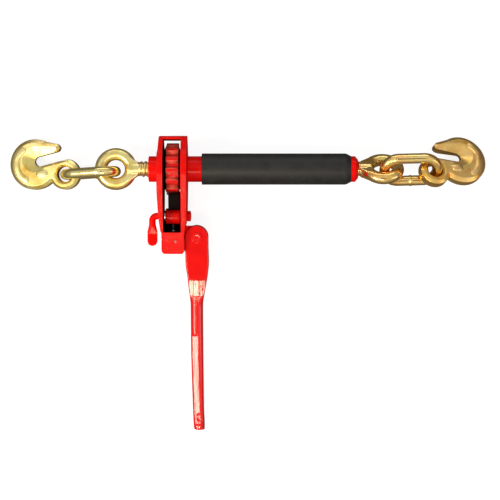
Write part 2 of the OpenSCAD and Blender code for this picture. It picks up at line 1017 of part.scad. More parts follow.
module detent_plunger() {
    color("lightgray")
    in_head() {
        along_y(plunger_x, -chamber_top - side_gap - flange_t)
            rotate_extrude()
                polygon([
                    [0, 0],
                    [chamber_d / 2 - run_gap, 0],
                    [chamber_d / 2 - run_gap, flange_t],
                    [plunger_r, flange_t],
                    [plunger_r, chamber_top + side_gap + flange_t - plunger_tip - 1],
                    [plunger_r - 1, chamber_top + side_gap + flange_t - plunger_tip],
                    [0, chamber_top + side_gap + flange_t - plunger_tip]
                ]);
    }
}

module plunger_bushing() {
    color("silver")
    in_head()
        along_y(plunger_x, bushing_y)
            ring(bushing_r, plunger_r + run_gap, 3.3);
}

module detent_spring() {
    low = -plug_top + side_gap;
    high = -chamber_top - flange_t - 2 * side_gap;
    wire = 0.9;
    r = chamber_d / 2 - 1;
    steps = spring_turns * 12;
    color("silver")
    in_head()
        along_y(plunger_x, low)
            linear_extrude(height = high - low, twist = -360 * spring_turns, slices = steps, $fn = 8)
                polygon(concat(
                    [for (a = [0:35:140]) [r * cos(a), r * sin(a)]],
                    [for (a = [140:-35:0]) [(r - wire) * cos(a), (r - wire) * sin(a)]]
                ));
}

module spring_plug() {
    color("gray")
    in_head()
        along_y(plunger_x, -frame_drop + plug_inset)
            cylinder(r = chamber_d / 2 + 0.6, h = plug_len);
}

module block_pin() {
    color("silver")
    in_head()
        translate([block_pin_x, block_pin_y, 9])
            cylinder(r = block_pin_r, h = 11.5);
}

// --- Handle ---

module handle() {
    p = pivot_x;
    cheek_r = head_r;
    slot_half = lug_t / 2 + side_gap;
    slot_low = -pivot_drop - 21;
    r1 = tube_d1 / 2;
    r2 = tube_d2 / 2;
    tip = 1.4;
    tube_len = handle_end - tube_start;
    color("red")
    in_head()
    difference() {
        union() {
            translate([p, -pivot_drop, -head_t / 2])
                cylinder(r = cheek_r, h = head_t);
            translate([0, 0, -head_t / 2])
                linear_extrude(height = head_t)
                    polygon([
                        [p - cheek_r + 0.1, -pivot_drop - 1],
                        [p - 15.6, -135],
                        [p - 12.6, -153.2],
                        [p + 15, -153.2],
                        [p + 17.2, -135],
                        [p + cheek_r + 0.1, -pivot_drop - 6]
                    ]);
            // From the flat head to the round tube
            hull() {
                translate([p - 12.6, -153, -head_t / 2 + 2])
                    cube([27.6, 1, head_t - 4]);
                translate([p - 10.6, -153, -head_t / 2])
                    cube([23.6, 1, head_t]);
                along_y(p + 0.35, -tube_start)
                    cylinder(r = r1, h = 1, $fn = 32);
            }
            translate([p + 0.35, -tube_start + 0.5, 0])
                rotate([90, 0, tube_lean])
                    rotate_extrude()
                        polygon([
                            [0, 0],
                            [r1, 0],
                            [r2, tube_len - 32],
                            [r2 + 0.5, tube_len - 12],
                            [r2 + 0.3, tube_len - tip],
                            [r2 - tip, tube_len],
                            [0, tube_len]
                        ]);
        }
        // Slot for the frame's lug
        translate([p - 40, slot_low, -slot_half])
            cube([80, 60, 2 * slot_half]);
        translate([p, -pivot_drop, -head_t])
            cylinder(r = pivot_d / 2 + seat_gap, h = 2 * head_t);
    }
}

module handle_pin() {
    face = head_t / 2;
    color("lightcoral")
    in_head()
        translate([pivot_x, -pivot_drop, 0])
            difference() {
                rotate_extrude()
                    polygon([
                        [0, -face - 3],
                        [pivot_d / 2 - 1, -face - 3],
                        [pivot_d / 2, -face - 2],
                        [pivot_d / 2, face + seat_gap],
                        [rivet_d / 2, face + seat_gap],
                        [rivet_d / 2, face + 1],
                        [rivet_d / 2 - 1, face + 2],
                        [0, face + 2]
                    ]);
                translate([0, 0, face + 1])
                    cylinder(r1 = 0.5, r2 = 3, h = 2);
            }
}

module pin_washer() {
    color("gray")
    in_head()
        translate([pivot_x, -pivot_drop, -head_t / 2 - 1.6 - seat_gap])
            ring(rivet_d / 2, pivot_d / 2 + seat_gap, 1.6);
}

ratchet_frame();
barrel_tube();
ratchet_wheel();
wheel_key();
left_thread_nut();
right_thread_nut();
barrel_grip();
left_eye_bolt();
right_eye_bolt();
left_stop_collar();
right_stop_collar();
left_stop_pin();
right_stop_pin();
left_link();
right_link();
left_hook();
right_hook();
pawl_hub();
pawl_dog();
pawl_lever();
pawl_shaft_nut();
pawl_washers();
detent_plunger();
plunger_bushing();
detent_spring();
spring_plug();
block_pin();
handle();
handle_pin();
pin_washer();
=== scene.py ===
import math

import bmesh
import bpy
from mathutils import Matrix, Vector


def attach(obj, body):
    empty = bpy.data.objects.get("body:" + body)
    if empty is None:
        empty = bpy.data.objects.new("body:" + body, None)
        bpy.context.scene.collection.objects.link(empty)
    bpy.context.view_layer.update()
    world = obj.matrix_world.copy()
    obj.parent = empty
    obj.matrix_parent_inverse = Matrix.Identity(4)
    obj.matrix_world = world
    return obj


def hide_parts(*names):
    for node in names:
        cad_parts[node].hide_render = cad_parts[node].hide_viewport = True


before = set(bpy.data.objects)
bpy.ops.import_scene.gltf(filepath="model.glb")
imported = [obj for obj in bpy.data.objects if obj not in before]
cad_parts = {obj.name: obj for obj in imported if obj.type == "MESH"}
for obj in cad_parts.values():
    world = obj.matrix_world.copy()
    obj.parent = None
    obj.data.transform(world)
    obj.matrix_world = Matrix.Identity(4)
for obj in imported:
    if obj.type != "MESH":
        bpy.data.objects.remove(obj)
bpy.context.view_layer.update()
scene = bpy.context.scene

# ---------------------------------------------------------------------------
# Camera
# The tool lies flat on a table and is seen from straight above, through a long lens.
# ---------------------------------------------------------------------------
CAMERA_AIM = (0.00334, 0.04737, 0.042)
CAMERA_HEIGHT = 2.5
VIEW_WIDTH = 0.7
SENSOR_WIDTH = 36.0

camera_data = bpy.data.cameras.new("camera")
camera_data.sensor_width = SENSOR_WIDTH
camera_data.lens = SENSOR_WIDTH * CAMERA_HEIGHT / VIEW_WIDTH
camera = bpy.data.objects.new("camera", camera_data)
camera.location = (CAMERA_AIM[0], CAMERA_AIM[1], CAMERA_AIM[2] + CAMERA_HEIGHT)
camera.rotation_euler = (0.0, 0.0, 0.0)
scene.collection.objects.link(camera)
scene.camera = camera
scene.view_settings.view_transform = "Standard"

# ---------------------------------------------------------------------------
# Table
# A white table top. The camera sees a sheet that is bright by itself and takes the tool's shadow;
# the tool is lit from below, and mirrored, by a duller one.
# ---------------------------------------------------------------------------
TABLE_HALF = 6.0
TABLE_SHADE = 0.30
TABLE_GLOW = 0.84
TABLE_BOUNCE = 0.16


def grey(value):
    return (value, value, value)


def node(tree, kind, place=(0, 0), **values):
    """Adds a shader or geometry node; values name its properties, or its input sockets."""
    made = tree.nodes.new(kind)
    made.location = place
    for key, value in values.items():
        if hasattr(made, key):
            setattr(made, key, value)
        else:
            made.inputs[key].default_value = value
    return made


floor_mesh = bpy.data.meshes.new("floor")
floor_corners = [(-1, -1), (1, -1), (1, 1), (-1, 1)]
floor_mesh.from_pydata([(TABLE_HALF * x, TABLE_HALF * y, 0) for x, y in floor_corners], [],
                       [(0, 1, 2, 3)])
floor = bpy.data.objects.new("floor", floor_mesh)
scene.collection.objects.link(floor)

table_white = bpy.data.materials.new("white_table")
table_white.use_nodes = True
tree = table_white.node_tree
tree.nodes.clear()
seen = node(tree, "ShaderNodeBsdfDiffuse", (0, 200), Color=(*grey(TABLE_SHADE), 1))
glow = node(tree, "ShaderNodeEmission", (0, 0), Color=(1, 1, 1, 1), Strength=TABLE_GLOW)
bright = node(tree, "ShaderNodeAddShader", (200, 100))
dull = node(tree, "ShaderNodeBsdfDiffuse", (0, -200), Color=(*grey(TABLE_BOUNCE), 1))
ray = node(tree, "ShaderNodeLightPath", (0, 500))
choice = node(tree, "ShaderNodeMixShader", (400, 0))
table_out = node(tree, "ShaderNodeOutputMaterial", (600, 0))
tree.links.new(seen.outputs[0], bright.inputs[0])
tree.links.new(glow.outputs[0], bright.inputs[1])
tree.links.new(ray.outputs["Is Camera Ray"], choice.inputs[0])
tree.links.new(dull.outputs[0], choice.inputs[1])
tree.links.new(bright.outputs[0], choice.inputs[2])
tree.links.new(choice.outputs[0], table_out.inputs[0])
floor_mesh.materials.append(table_white)

# ---------------------------------------------------------------------------
# Room and lamps
# A pale room, brighter higher up, with a dark patch over the tool that the polished metal mirrors.
# Two warm soft boxes stand to the left and in front, and two weak ones fill from behind and beside.
# ---------------------------------------------------------------------------
# The direction of the dark patch, and the brightness by the cosine to it
ROOM_POLE = (0.0, -0.17, 0.985)
ROOM_LIGHT = [(0.0, 0.10), (0.20, 0.28), (0.36, 0.46), (0.60, 0.60), (0.85, 0.82), (0.94, 0.82),
              (0.97, 0.22), (1.0, 0.12)]


def colour_ramp(tree, place, source, stops):
    """The output of a ramp through (position, colour) stops, fed by another socket."""
    ramp = node(tree, "ShaderNodeValToRGB", place)
    elements = ramp.color_ramp.elements
    for position, _ in stops[1:-1]:
        elements.new(position)
    for element, (position, colour) in zip(elements, stops):
        element.position = position
        element.color = (*colour, 1)
    tree.links.new(source, ramp.inputs[0])
    return ramp.outputs[0]


world = bpy.data.worlds.new("studio")
scene.world = world
world.use_nodes = True
tree = world.node_tree
tree.nodes.clear()
where = node(tree, "ShaderNodeTexCoord", (0, 0))
slope = node(tree, "ShaderNodeVectorMath", (150, 0), operation="DOT_PRODUCT")
slope.inputs[1].default_value = ROOM_POLE
tree.links.new(where.outputs["Generated"], slope.inputs[0])
room_tone = colour_ramp(tree, (300, 0), slope.outputs["Value"],
                        [(position, grey(value)) for position, value in ROOM_LIGHT])
world_light = node(tree, "ShaderNodeBackground", (600, 0), Strength=1.0)
world_out = node(tree, "ShaderNodeOutputWorld", (800, 0))
tree.links.new(room_tone, world_light.inputs["Color"])
tree.links.new(world_light.outputs[0], world_out.inputs[0])


def soft_lamp(name, place, aim, size, watts, tint=(1.0, 1.0, 1.0)):
    """A rectangular soft box at place that shines towards aim."""
    data = bpy.data.lights.new(name, "AREA")
    data.shape = "RECTANGLE"
    data.size, data.size_y = size
    data.energy = watts
    data.color = tint
    lamp = bpy.data.objects.new(name, data)
    lamp.location = place
    lamp.rotation_euler = (Vector(aim) - Vector(place)).to_track_quat("-Z", "Y").to_euler()
    scene.collection.objects.link(lamp)


soft_lamp("strip_box", place=(-1.22, -0.60, 1.5), aim=(-0.10, -0.03, 0), size=(0.90, 0.34),
          watts=21, tint=(1.0, 0.86, 0.68))
soft_lamp("front_box", place=(-0.115, -0.655, 1.5), aim=(-0.07, 0.0, 0), size=(0.36, 0.17),
          watts=5.6, tint=(1.0, 0.84, 0.62))
soft_lamp("back_box", place=(0.0, 2.2, 0.8), aim=(0, 0.1, 0), size=(2.4, 0.6), watts=9)
soft_lamp("side_box", place=(1.9, -0.3, 0.9), aim=(0, 0, 0), size=(0.5, 1.2), watts=3)

# ---------------------------------------------------------------------------
# Ratchet frame
# One ductile iron casting: two round plates joined by a bridge at the top and a block at the
# bottom, with a lug for the handle. It is shot blasted and sprayed with glossy red enamel; the
# slot's inner walls, the bridge's underside and the pocket over the block are painted near-black as
# shade.
# ---------------------------------------------------------------------------
# Lengths are in millimetres until they become vertices. The barrel's axis runs along X through the
# head centre, and the head is turned about it until the end of the handle lies on the floor.
MM = 0.001
HEAD_CENTRE = Vector((-105.26, 160.67, 42.0))
HEAD_ROLL = math.radians(5.34)
AXIS_PLACE = Matrix.Translation(HEAD_CENTRE)
HEAD_PLACE = AXIS_PLACE @ Matrix.Rotation(HEAD_ROLL, 4, "X")

FRAME_GAP = 24.4
BLOCK_TOP = -86.7
POCKET_TOP = -70.0
BRIDGE_UNDER = (30.0, 42.4)
WALL_SKIN = 0.8


def as_mesh(work, name):
    """A new mesh from a finished bmesh."""
    mesh = bpy.data.meshes.new(name)
    work.to_mesh(mesh)
    work.free()
    return mesh


def baked(piece):
    """Turns a piece's modifiers into plain mesh."""
    bpy.context.view_layer.update()
    graph = bpy.context.evaluated_depsgraph_get()
    mesh = bpy.data.meshes.new_from_object(piece.evaluated_get(graph))
    piece.modifiers.clear()
    return mesh


def forged(cad_node, voxel, rounds):
    """A copy of a CAD node with the soft edges that casting or forging leaves."""
    work = bmesh.new()
    work.from_mesh(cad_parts[cad_node].data)
    bmesh.ops.remove_doubles(work, verts=work.verts, dist=1e-6)
    blank = bpy.data.objects.new("blank", as_mesh(work, "blank"))
    scene.collection.objects.link(blank)
    skin = blank.modifiers.new("skin", "REMESH")
    skin.mode = "VOXEL"
    skin.voxel_size = voxel * MM
    skin.adaptivity = 0.0
    soften = blank.modifiers.new("soften", "SMOOTH")
    soften.factor = 0.5
    soften.iterations = rounds
    result = baked(blank)
    bpy.data.objects.remove(blank)
    return result


def add_piece(name, mesh, material, body, cad_node):
    """Closes a mesh's seams, gives it its material and puts it on a body in place of a CAD node."""
    work = bmesh.new()
    work.from_mesh(mesh)
    bmesh.ops.remove_doubles(work, verts=work.verts, dist=1e-6)
    bmesh.ops.recalc_face_normals(work, faces=work.faces)
    work.to_mesh(mesh)
    work.free()
    mesh.materials.clear()
    mesh.materials.append(material)
    mesh.shade_smooth()
    piece = bpy.data.objects.new(name, mesh)
    scene.collection.objects.link(piece)
    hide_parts(cad_node)
    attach(piece, body)


def blacken(mesh, place, inside):
    """Gives the faces where inside(centre, normal) is true, in millimetres, the near-black of
    painted shade.
    """
    mesh.materials.append(SHADE_BLACK)
    back = place.inverted()
    for face in mesh.polygons:
        centre = back @ (face.center / MM)
        normal = back.to_3x3() @ face.normal
        if inside(centre, normal):
            face.material_index = 1


def new_material(name):
    """An empty node material and its Principled shader."""
    material = bpy.data.materials.new(name)
    material.use_nodes = True
    tree = material.node_tree
    shader = tree.nodes["Principled BSDF"]
    shader.location = (900, 0)
    return material, tree, shader


def noise_texture(tree, place, scale, detail, roughness, stretch=None):
    """Noise on Object coordinates; scale counts its lumps per metre, stretch those along X, Y, Z."""
    where = node(tree, "ShaderNodeTexCoord", (place[0] - 400, place[1]))
    pattern = node(tree, "ShaderNodeTexNoise", place, Scale=scale, Detail=detail,
                   Roughness=roughness)
    source = where.outputs["Object"]
    if stretch:
        mapping = node(tree, "ShaderNodeMapping", (place[0] - 200, place[1]), Scale=stretch)
        tree.links.new(source, mapping.inputs["Vector"])
        source = mapping.outputs[0]
    tree.links.new(source, pattern.inputs["Vector"])
    return pattern.outputs["Fac"]


def times(tree, place, source, factor):
    """A socket's value times a plain number."""
    product = node(tree, "ShaderNodeMath", place, operation="MULTIPLY")
    product.inputs[1].default_value = factor
    tree.links.new(source, product.inputs[0])
    return product.outputs[0]


def laid_over(tree, place, under, colour, mask):
    """A plain colour over an output socket where the mask is white."""
    mix = node(tree, "ShaderNodeMixRGB", place, blend_type="MIX", Color2=(*colour, 1))
    tree.links.new(mask, mix.inputs["Fac"])
    tree.links.new(under, mix.inputs["Color1"])
    return mix.outputs[0]


def add_bump(tree, shader, heights, distance):
    """Sums several (socket, weight) heights into one bump and returns its output."""
    total = None
    for i, (socket, weight) in enumerate(heights):
        height = times(tree, (300, -500 - 180 * i), socket, weight)
        if total is None:
            total = height
        else:
            both = node(tree, "ShaderNodeMath", (480, -500 - 180 * i), operation="ADD")
            tree.links.new(total, both.inputs[0])
            tree.links.new(height, both.inputs[1])
            total = both.outputs[0]
    bump = node(tree, "ShaderNodeBump", (680, -500), Strength=1.0, Distance=distance)
    tree.links.new(total, bump.inputs["Height"])
    tree.links.new(bump.outputs[0], shader.inputs["Normal"])
    return bump.outputs[0]


def red_enamel(name, gloss, texture, coat=0.15, depth=1.0, streaks=0.0, grain=420.0):
    """Sprayed red enamel; texture is how far the blasted metal shows through it, depth darkens it,
    streaks is the height of lengthwise drawing marks under it and grain how fine the metal is."""
    material, tree, shader = new_material(name)
    cloud = noise_texture(tree, (-600, 300), 38.0, 5.0, 0.6)
    tone = colour_ramp(tree, (-350, 300), cloud, [
        (0.3, (0.72 * depth, 0.0022, 0.0012)),
        (0.55, (0.80 * depth, 0.0030, 0.0014)),
        (0.8, (0.87 * depth, 0.0045, 0.0020))])
    specks = noise_texture(tree, (-600, 0), 900.0, 3.0, 0.7)
    speck_mask = colour_ramp(tree, (-350, 0), specks, [
        (0.0, grey(0.0)), (0.69, grey(0.0)), (0.76, grey(1.0))])
    specked = laid_over(tree, (0, 200), tone, (0.40, 0.001, 0.001),
                        times(tree, (-100, 0), speck_mask, 0.35))
    # Painted highlight: pale pink laid on the sharpest convex edges, where the lamps would catch
    # them
    edge = node(tree, "ShaderNodeNewGeometry", (-600, 600))
    edge_highlight_mask = colour_ramp(tree, (-350, 600), edge.outputs["Pointiness"], [
        (0.0, grey(0.0)), (0.53, grey(0.0)), (0.62, grey(1.0))])
    highlit_edges = laid_over(tree, (250, 250), specked, (1.0, 0.22, 0.15),
                       times(tree, (0, 500), edge_highlight_mask, 0.5))
    tree.links.new(highlit_edges, shader.inputs["Base Color"])
    shine = colour_ramp(tree, (-350, -250), cloud, [
        (0.3, grey(gloss)), (0.75, grey(gloss + 0.12))])
    tree.links.new(shine, shader.inputs["Roughness"])
    shader.inputs["Coat Weight"].default_value = coat
    shader.inputs["Coat Roughness"].default_value = 0.10
    shader.inputs["Specular IOR Level"].default_value = 0.04
    blasted = noise_texture(tree, (-600, -600), grain, 4.0, 0.6)
    rolled = noise_texture(tree, (-600, -800), 70.0, 2.0, 0.5)
    heights = [(blasted, texture), (rolled, texture * 1.6)]
    if streaks > 0:
        drawn = noise_texture(tree, (-600, -1000), 1.0, 3.0, 0.5, (380.0, 16.0, 60.0))
        heights.append((drawn, streaks))
    tree.links.new(add_bump(tree, shader, heights, 0.0006), shader.inputs["Coat Normal"])
    return material


def clouded(tree, shader, scale, detail, dark, light, smooth, rough):
    """Slow clouds between two colours and two roughnesses."""
    cloud = noise_texture(tree, (-600, 200), scale, detail, 0.6)
    tone = colour_ramp(tree, (-350, 200), cloud, [(0.3, dark), (0.7, light)])
    tree.links.new(tone, shader.inputs["Base Color"])
    shine = colour_ramp(tree, (-350, -100), cloud, [(0.3, grey(smooth)), (0.7, grey(rough))])
    tree.links.new(shine, shader.inputs["Roughness"])


def shade_and_oxide_black(name, gloss):
    """Near-black: painted shade in the frame's slot and on the wheel's flanks, and the dog's black
    oxide.
    """
    material, tree, shader = new_material(name)
    clouded(tree, shader, 140.0, 5.0, (0.003, 0.0015, 0.0015), (0.008, 0.003, 0.003), gloss,
            gloss + 0.16)
    shader.inputs["Specular IOR Level"].default_value = 0.03
    skin = noise_texture(tree, (-600, -500), 700.0, 4.0, 0.6)
    add_bump(tree, shader, [(skin, 0.4)], 0.0003)
    return material


CASTING_RED = red_enamel("red_enamel_casting", 0.30, 0.45)
# Painted shade: the near-black laid on the slot and the wheel's flanks in place of their shadow
SHADE_BLACK = shade_and_oxide_black("inner_black", 0.45)


def slot_shade_faces(centre, normal):
    """Painted shade: the plates' inner walls, the bridge's underside and the pocket over the block.
    """
    half = FRAME_GAP / 2
    wall = abs(abs(centre.x) - half) < WALL_SKIN and abs(normal.x) > 0.8
    under = abs(centre.x) < half - 0.3 and BRIDGE_UNDER[0] < centre.y < BRIDGE_UNDER[1]
    pocket = abs(centre.x) < half - 0.2 and BLOCK_TOP - 0.6 < centre.y < POCKET_TOP
    return (wall and centre.y > BLOCK_TOP - 1) or under or pocket


frame_mesh = forged("ratchet_frame", 0.6, 5)
add_piece("frame_casting", frame_mesh, CASTING_RED, "ratchet_head", "ratchet_frame")
# Painted shade: these faces of the slot take the near-black instead of the red
blacken(frame_mesh, HEAD_PLACE, slot_shade_faces)

# ---------------------------------------------------------------------------
# Barrel tube
# Seamless steel tube that carries the wheel and turns inside the frame, in the same red enamel.
# ---------------------------------------------------------------------------
BARREL_R = 18.0
BORE_R = 14.0
TUBE_LEFT = -33.2
TUBE_RIGHT = 250.0


def lathe(profile, segments=160):
    """Turns a closed outline of (x, r) points about the X axis into a mesh, in millimetres."""
    verts, faces, rings = [], [], []
    for x, r in profile:
        if r < 1e-6:
            rings.append([len(verts)])
            verts.append((x, 0.0, 0.0))
            continue
        ring = []
        for k in range(segments):
            a = 2 * math.pi * k / segments
            ring.append(len(verts))
            verts.append((x, r * math.cos(a), r * math.sin(a)))
        rings.append(ring)
    count = len(rings)
    closed = profile[0][1] > 1e-6 or profile[-1][1] > 1e-6
    for i in range(count if closed else count - 1):
        a, b = rings[i], rings[(i + 1) % count]
        for k in range(segments):
            n = (k + 1) % segments
            if len(a) == 1 and len(b) == 1:
                continue
            if len(a) == 1:
                faces.append((a[0], b[k], b[n]))
            elif len(b) == 1:
                faces.append((a[k], b[0], a[n]))
            else:
                faces.append((a[k], b[k], b[n], a[n]))
    mesh = bpy.data.meshes.new("lathe")
    mesh.from_pydata(verts, [], faces)
    return mesh


def rounded(profile, radii, steps=5):
    """Rounds the corners of a closed outline of (x, r) points by a radius for each."""
    out = []
    for i, (point, size) in enumerate(zip(profile, radii)):
        p = Vector(point)
        before = Vector(profile[i - 1]) - p
        after = Vector(profile[(i + 1) % len(profile)]) - p
        size = min(size, before.length * 0.45, after.length * 0.45)
        if size < 1e-4 or point[1] < 1e-6:
            out.append(tuple(p))
            continue
        a = p + before.normalized() * size
        b = p + after.normalized() * size
        for s in range(steps + 1):
            t = s / steps
            out.append(tuple((1 - t) ** 2 * a + 2 * t * (1 - t) * p + t * t * b))
    return out


def placed(mesh, matrix):
    """Moves a mesh drawn in millimetres to its place in the tool, in metres."""
    mesh.transform(Matrix.Scale(MM, 4) @ matrix)
    return mesh


TUBE_RED = red_enamel("red_enamel_tube", 0.22, 0.10)
tube_outline = rounded([
    (TUBE_LEFT, BORE_R), (TUBE_LEFT, BARREL_R), (TUBE_RIGHT, BARREL_R), (TUBE_RIGHT, BORE_R)],
    [0.2, 1.6, 0.2, 0.2])
add_piece("barrel", placed(lathe(tube_outline), AXIS_PLACE), TUBE_RED, "barrel",
          "barrel_tube")

# ---------------------------------------------------------------------------
# Thread nuts
# Steel nuts pressed into the ends of the tube. The right one has a tapered flange that closes the
# end, painted with the tube; the left one is flush and left-handed.
# ---------------------------------------------------------------------------
NUT_LENGTH = 30.0
NUT_BORE_R = 11.25
NUT_FIT_R = 13.98
FLANGE_EDGE = 255.6
FLANGE_END = 259.7
FLANGE_END_R = 13.0

right_nut = rounded([
    (FLANGE_END - NUT_LENGTH, NUT_BORE_R), (FLANGE_END - NUT_LENGTH, NUT_FIT_R),
    (TUBE_RIGHT + 0.02, NUT_FIT_R), (TUBE_RIGHT + 0.02, BARREL_R), (FLANGE_EDGE, BARREL_R),
    (FLANGE_END, FLANGE_END_R), (FLANGE_END, NUT_BORE_R)],
    [0.2, 0.2, 0.1, 0.3, 0.9, 0.9, 0.3])
add_piece("right_nut", placed(lathe(right_nut), AXIS_PLACE), TUBE_RED, "barrel",
          "right_thread_nut")


def plain_steel(name, dark, light, roughness):
    """Machined steel with faint turning marks and an oily bloom."""
    material, tree, shader = new_material(name)
    clouded(tree, shader, 120.0, 5.0, dark, light, roughness, roughness + 0.14)
    shader.inputs["Metallic"].default_value = 1.0
    marks = noise_texture(tree, (-600, -500), 1500.0, 3.0, 0.6)
    add_bump(tree, shader, [(marks, 0.3)], 0.0001)
    return material


BRIGHT_STEEL = plain_steel("bright_steel", (0.46, 0.46, 0.47), (0.70, 0.70, 0.71), 0.24)
left_nut = rounded([
    (TUBE_LEFT, NUT_BORE_R), (TUBE_LEFT, NUT_FIT_R), (TUBE_LEFT + NUT_LENGTH, NUT_FIT_R),
    (TUBE_LEFT + NUT_LENGTH, NUT_BORE_R)],
    [0.4, 0.4, 0.4, 0.4])
add_piece("left_nut", placed(lathe(left_nut), AXIS_PLACE), BRIGHT_STEEL, "barrel",
          "left_thread_nut")

# ---------------------------------------------------------------------------
# Grip sleeve
# Moulded black rubber sleeve pushed over the tube, with a bevelled right end.
# ---------------------------------------------------------------------------
GRIP_START = 41.2
GRIP_END = 249.6
GRIP_R = 21.85
GRIP_BEVEL = 6.7

GRIP_RUBBER, tree, shader = new_material("grip_rubber")
clouded(tree, shader, 60.0, 4.0, (0.010, 0.010, 0.009), (0.020, 0.020, 0.018), 0.42, 0.55)
shader.inputs["Specular IOR Level"].default_value = 0.35
grip_skin = noise_texture(tree, (-600, -500), 1100.0, 3.0, 0.7)
grip_waves = noise_texture(tree, (-600, -700), 45.0, 2.0, 0.5)
add_bump(tree, shader, [(grip_skin, 0.30), (grip_waves, 0.5)], 0.0005)

grip_outline = rounded([
    (GRIP_START, BARREL_R + 0.02), (GRIP_START, GRIP_R), (GRIP_END - GRIP_BEVEL, GRIP_R),
    (GRIP_END, BARREL_R + 0.3), (GRIP_END, BARREL_R + 0.02)],
    [0.1, 0.9, 2.2, 0.3, 0.05])
add_piece("grip", placed(lathe(grip_outline), AXIS_PLACE), GRIP_RUBBER, "barrel",
          "barrel_grip")

# ---------------------------------------------------------------------------
# Ratchet wheel
# Steel gear keyed to the tube between the plates, with square milled teeth that the pawl can drive
# both ways. The rim is sprayed red; the turned flanks are painted near-black as shade, and the right
# one is lower, to clear the pawl's dog.
# ---------------------------------------------------------------------------
TOOTH_COUNT = 14
TOOTH_TIP_HALF = math.radians(4.2)
TOOTH_FOOT_HALF = math.radians(8.2)
TOOTH_CHAMFER = 0.8
WHEEL_TIP_R = 36.4
WHEEL_ROOT_R = 30.0
WHEEL_X = 0.8
WHEEL_HALF = 8.5
WHEEL_HUB_R = 25.0
WHEEL_HUB_HALF = 11.9
LEFT_FLANK_R = 33.0
RIGHT_FLANK_R = 30.4

# A slightly darker copy of the red (depth 0.94): painted shade for the wheel deep between the plates
WHEEL_RED = red_enamel("red_enamel_wheel", 0.24, 1.6, 0.35, 0.94, 0.0, 230.0)


def new_tree(name, inputs):
    """A Geometry Nodes group with named inputs, its entry and exit, and the inputs' identifiers."""
    group = bpy.data.node_groups.new(name, "GeometryNodeTree")
    group.interface.new_socket("Geometry", in_out="OUTPUT", socket_type="NodeSocketGeometry")
    keys = [group.interface.new_socket(label, in_out="INPUT", socket_type=kind).identifier
            for label, kind in inputs]
    entry = node(group, "NodeGroupInput", (-800, 0))
    leave = node(group, "NodeGroupOutput", (900, 0))
    return group, entry, leave, keys


def made_real(group, entry, leave, geometry):
    """Ends a tree in Realize Instances and Set Material."""
    real = node(group, "GeometryNodeRealizeInstances", (350, 0))
    finish = node(group, "GeometryNodeSetMaterial", (600, 0))
    group.links.new(geometry, real.inputs[0])
    group.links.new(real.outputs[0], finish.inputs["Geometry"])
    group.links.new(entry.outputs["Material"], finish.inputs["Material"])
    group.links.new(finish.outputs[0], leave.inputs[0])


def grown(group, keys, values):
    """The plain mesh that a Geometry Nodes group makes from its input values."""
    carrier = bpy.data.objects.new(group.name, bpy.data.meshes.new(group.name))
    scene.collection.objects.link(carrier)
    modifier = carrier.modifiers.new(group.name, "NODES")
    modifier.node_group = group
    for key, value in zip(keys, values):
        modifier[key] = value
    mesh = baked(carrier)
    bpy.data.objects.remove(carrier)
    return mesh


def repeat_round(name, item, count, start, material):
    """Copies of one object's mesh, set around the X axis from the start angle and joined."""
    group, entry, leave, keys = new_tree(name, [
        ("Item", "NodeSocketObject"), ("Count", "NodeSocketInt"), ("Start", "NodeSocketFloat"),
        ("Material", "NodeSocketMaterial")])
    points = node(group, "GeometryNodePoints", (-500, 0))
    index = node(group, "GeometryNodeInputIndex", (-800, -300))
    step = node(group, "ShaderNodeMath", (-600, -300), operation="DIVIDE")
    turn = node(group, "ShaderNodeMath", (-400, -300), operation="MULTIPLY_ADD")
    turn.inputs[1].default_value = 2 * math.pi
    angles = node(group, "ShaderNodeCombineXYZ", (-200, -300))
    source = node(group, "GeometryNodeObjectInfo", (-500, 300))
    copies = node(group, "GeometryNodeInstanceOnPoints", (100, 0))
    link = group.links.new
    link(entry.outputs["Count"], points.inputs["Count"])
    link(index.outputs[0], step.inputs[0])
    link(entry.outputs["Count"], step.inputs[1])
    link(step.outputs[0], turn.inputs[0])
    link(entry.outputs["Start"], turn.inputs[2])
    link(turn.outputs[0], angles.inputs["X"])
    link(entry.outputs["Item"], source.inputs["Object"])
    link(points.outputs[0], copies.inputs["Points"])
    link(source.outputs["Geometry"], copies.inputs["Instance"])
    link(angles.outputs[0], copies.inputs["Rotation"])
    made_real(group, entry, leave, copies.outputs[0])
    return grown(group, keys, (item, count, start, material))


def tooth_mesh():
    """One tooth pointing along +Y, with its foot sunk into the rim and chamfered corners."""
    half = WHEEL_HALF - 0.02
    low_r = WHEEL_ROOT_R - 1.5
    side = [(TOOTH_FOOT_HALF, low_r), (TOOTH_FOOT_HALF, WHEEL_ROOT_R), (TOOTH_TIP_HALF, WHEEL_TIP_R)]
    outline = [(r * math.cos(a), -r * math.sin(a)) for a, r in side]
    outline += [(y, -z) for y, z in reversed(outline)]
    work = bmesh.new()
    front = [work.verts.new((WHEEL_X - half, y, z)) for y, z in outline]
    back = [work.verts.new((WHEEL_X + half, y, z)) for y, z in outline]
    work.faces.new(front)
    work.faces.new(list(reversed(back)))
    for i in range(len(outline)):
        n = (i + 1) % len(outline)
        work.faces.new((front[n], front[i], back[i], back[n]))
    bmesh.ops.recalc_face_normals(work, faces=work.faces)
    rim = [e for e in work.edges
           if min(math.hypot(v.co.y, v.co.z) for v in e.verts) > WHEEL_ROOT_R + 1]
    bmesh.ops.bevel(work, geom=rim, offset=TOOTH_CHAMFER, segments=3, profile=0.7,
                    affect="EDGES")
    return as_mesh(work, "tooth")


def joined(*meshes):
    """Several meshes as one."""
    work = bmesh.new()
    for mesh in meshes:
        work.from_mesh(mesh)
    return as_mesh(work, "joined")


def shaded_wheel_flank(centre, _):
    """The turned flanks and hub ends beside the teeth, which take painted shade."""
    reach = math.hypot(centre.y, centre.z)
    return abs(centre.x - WHEEL_X) > WHEEL_HALF - 0.05 and reach < LEFT_FLANK_R + 0.1


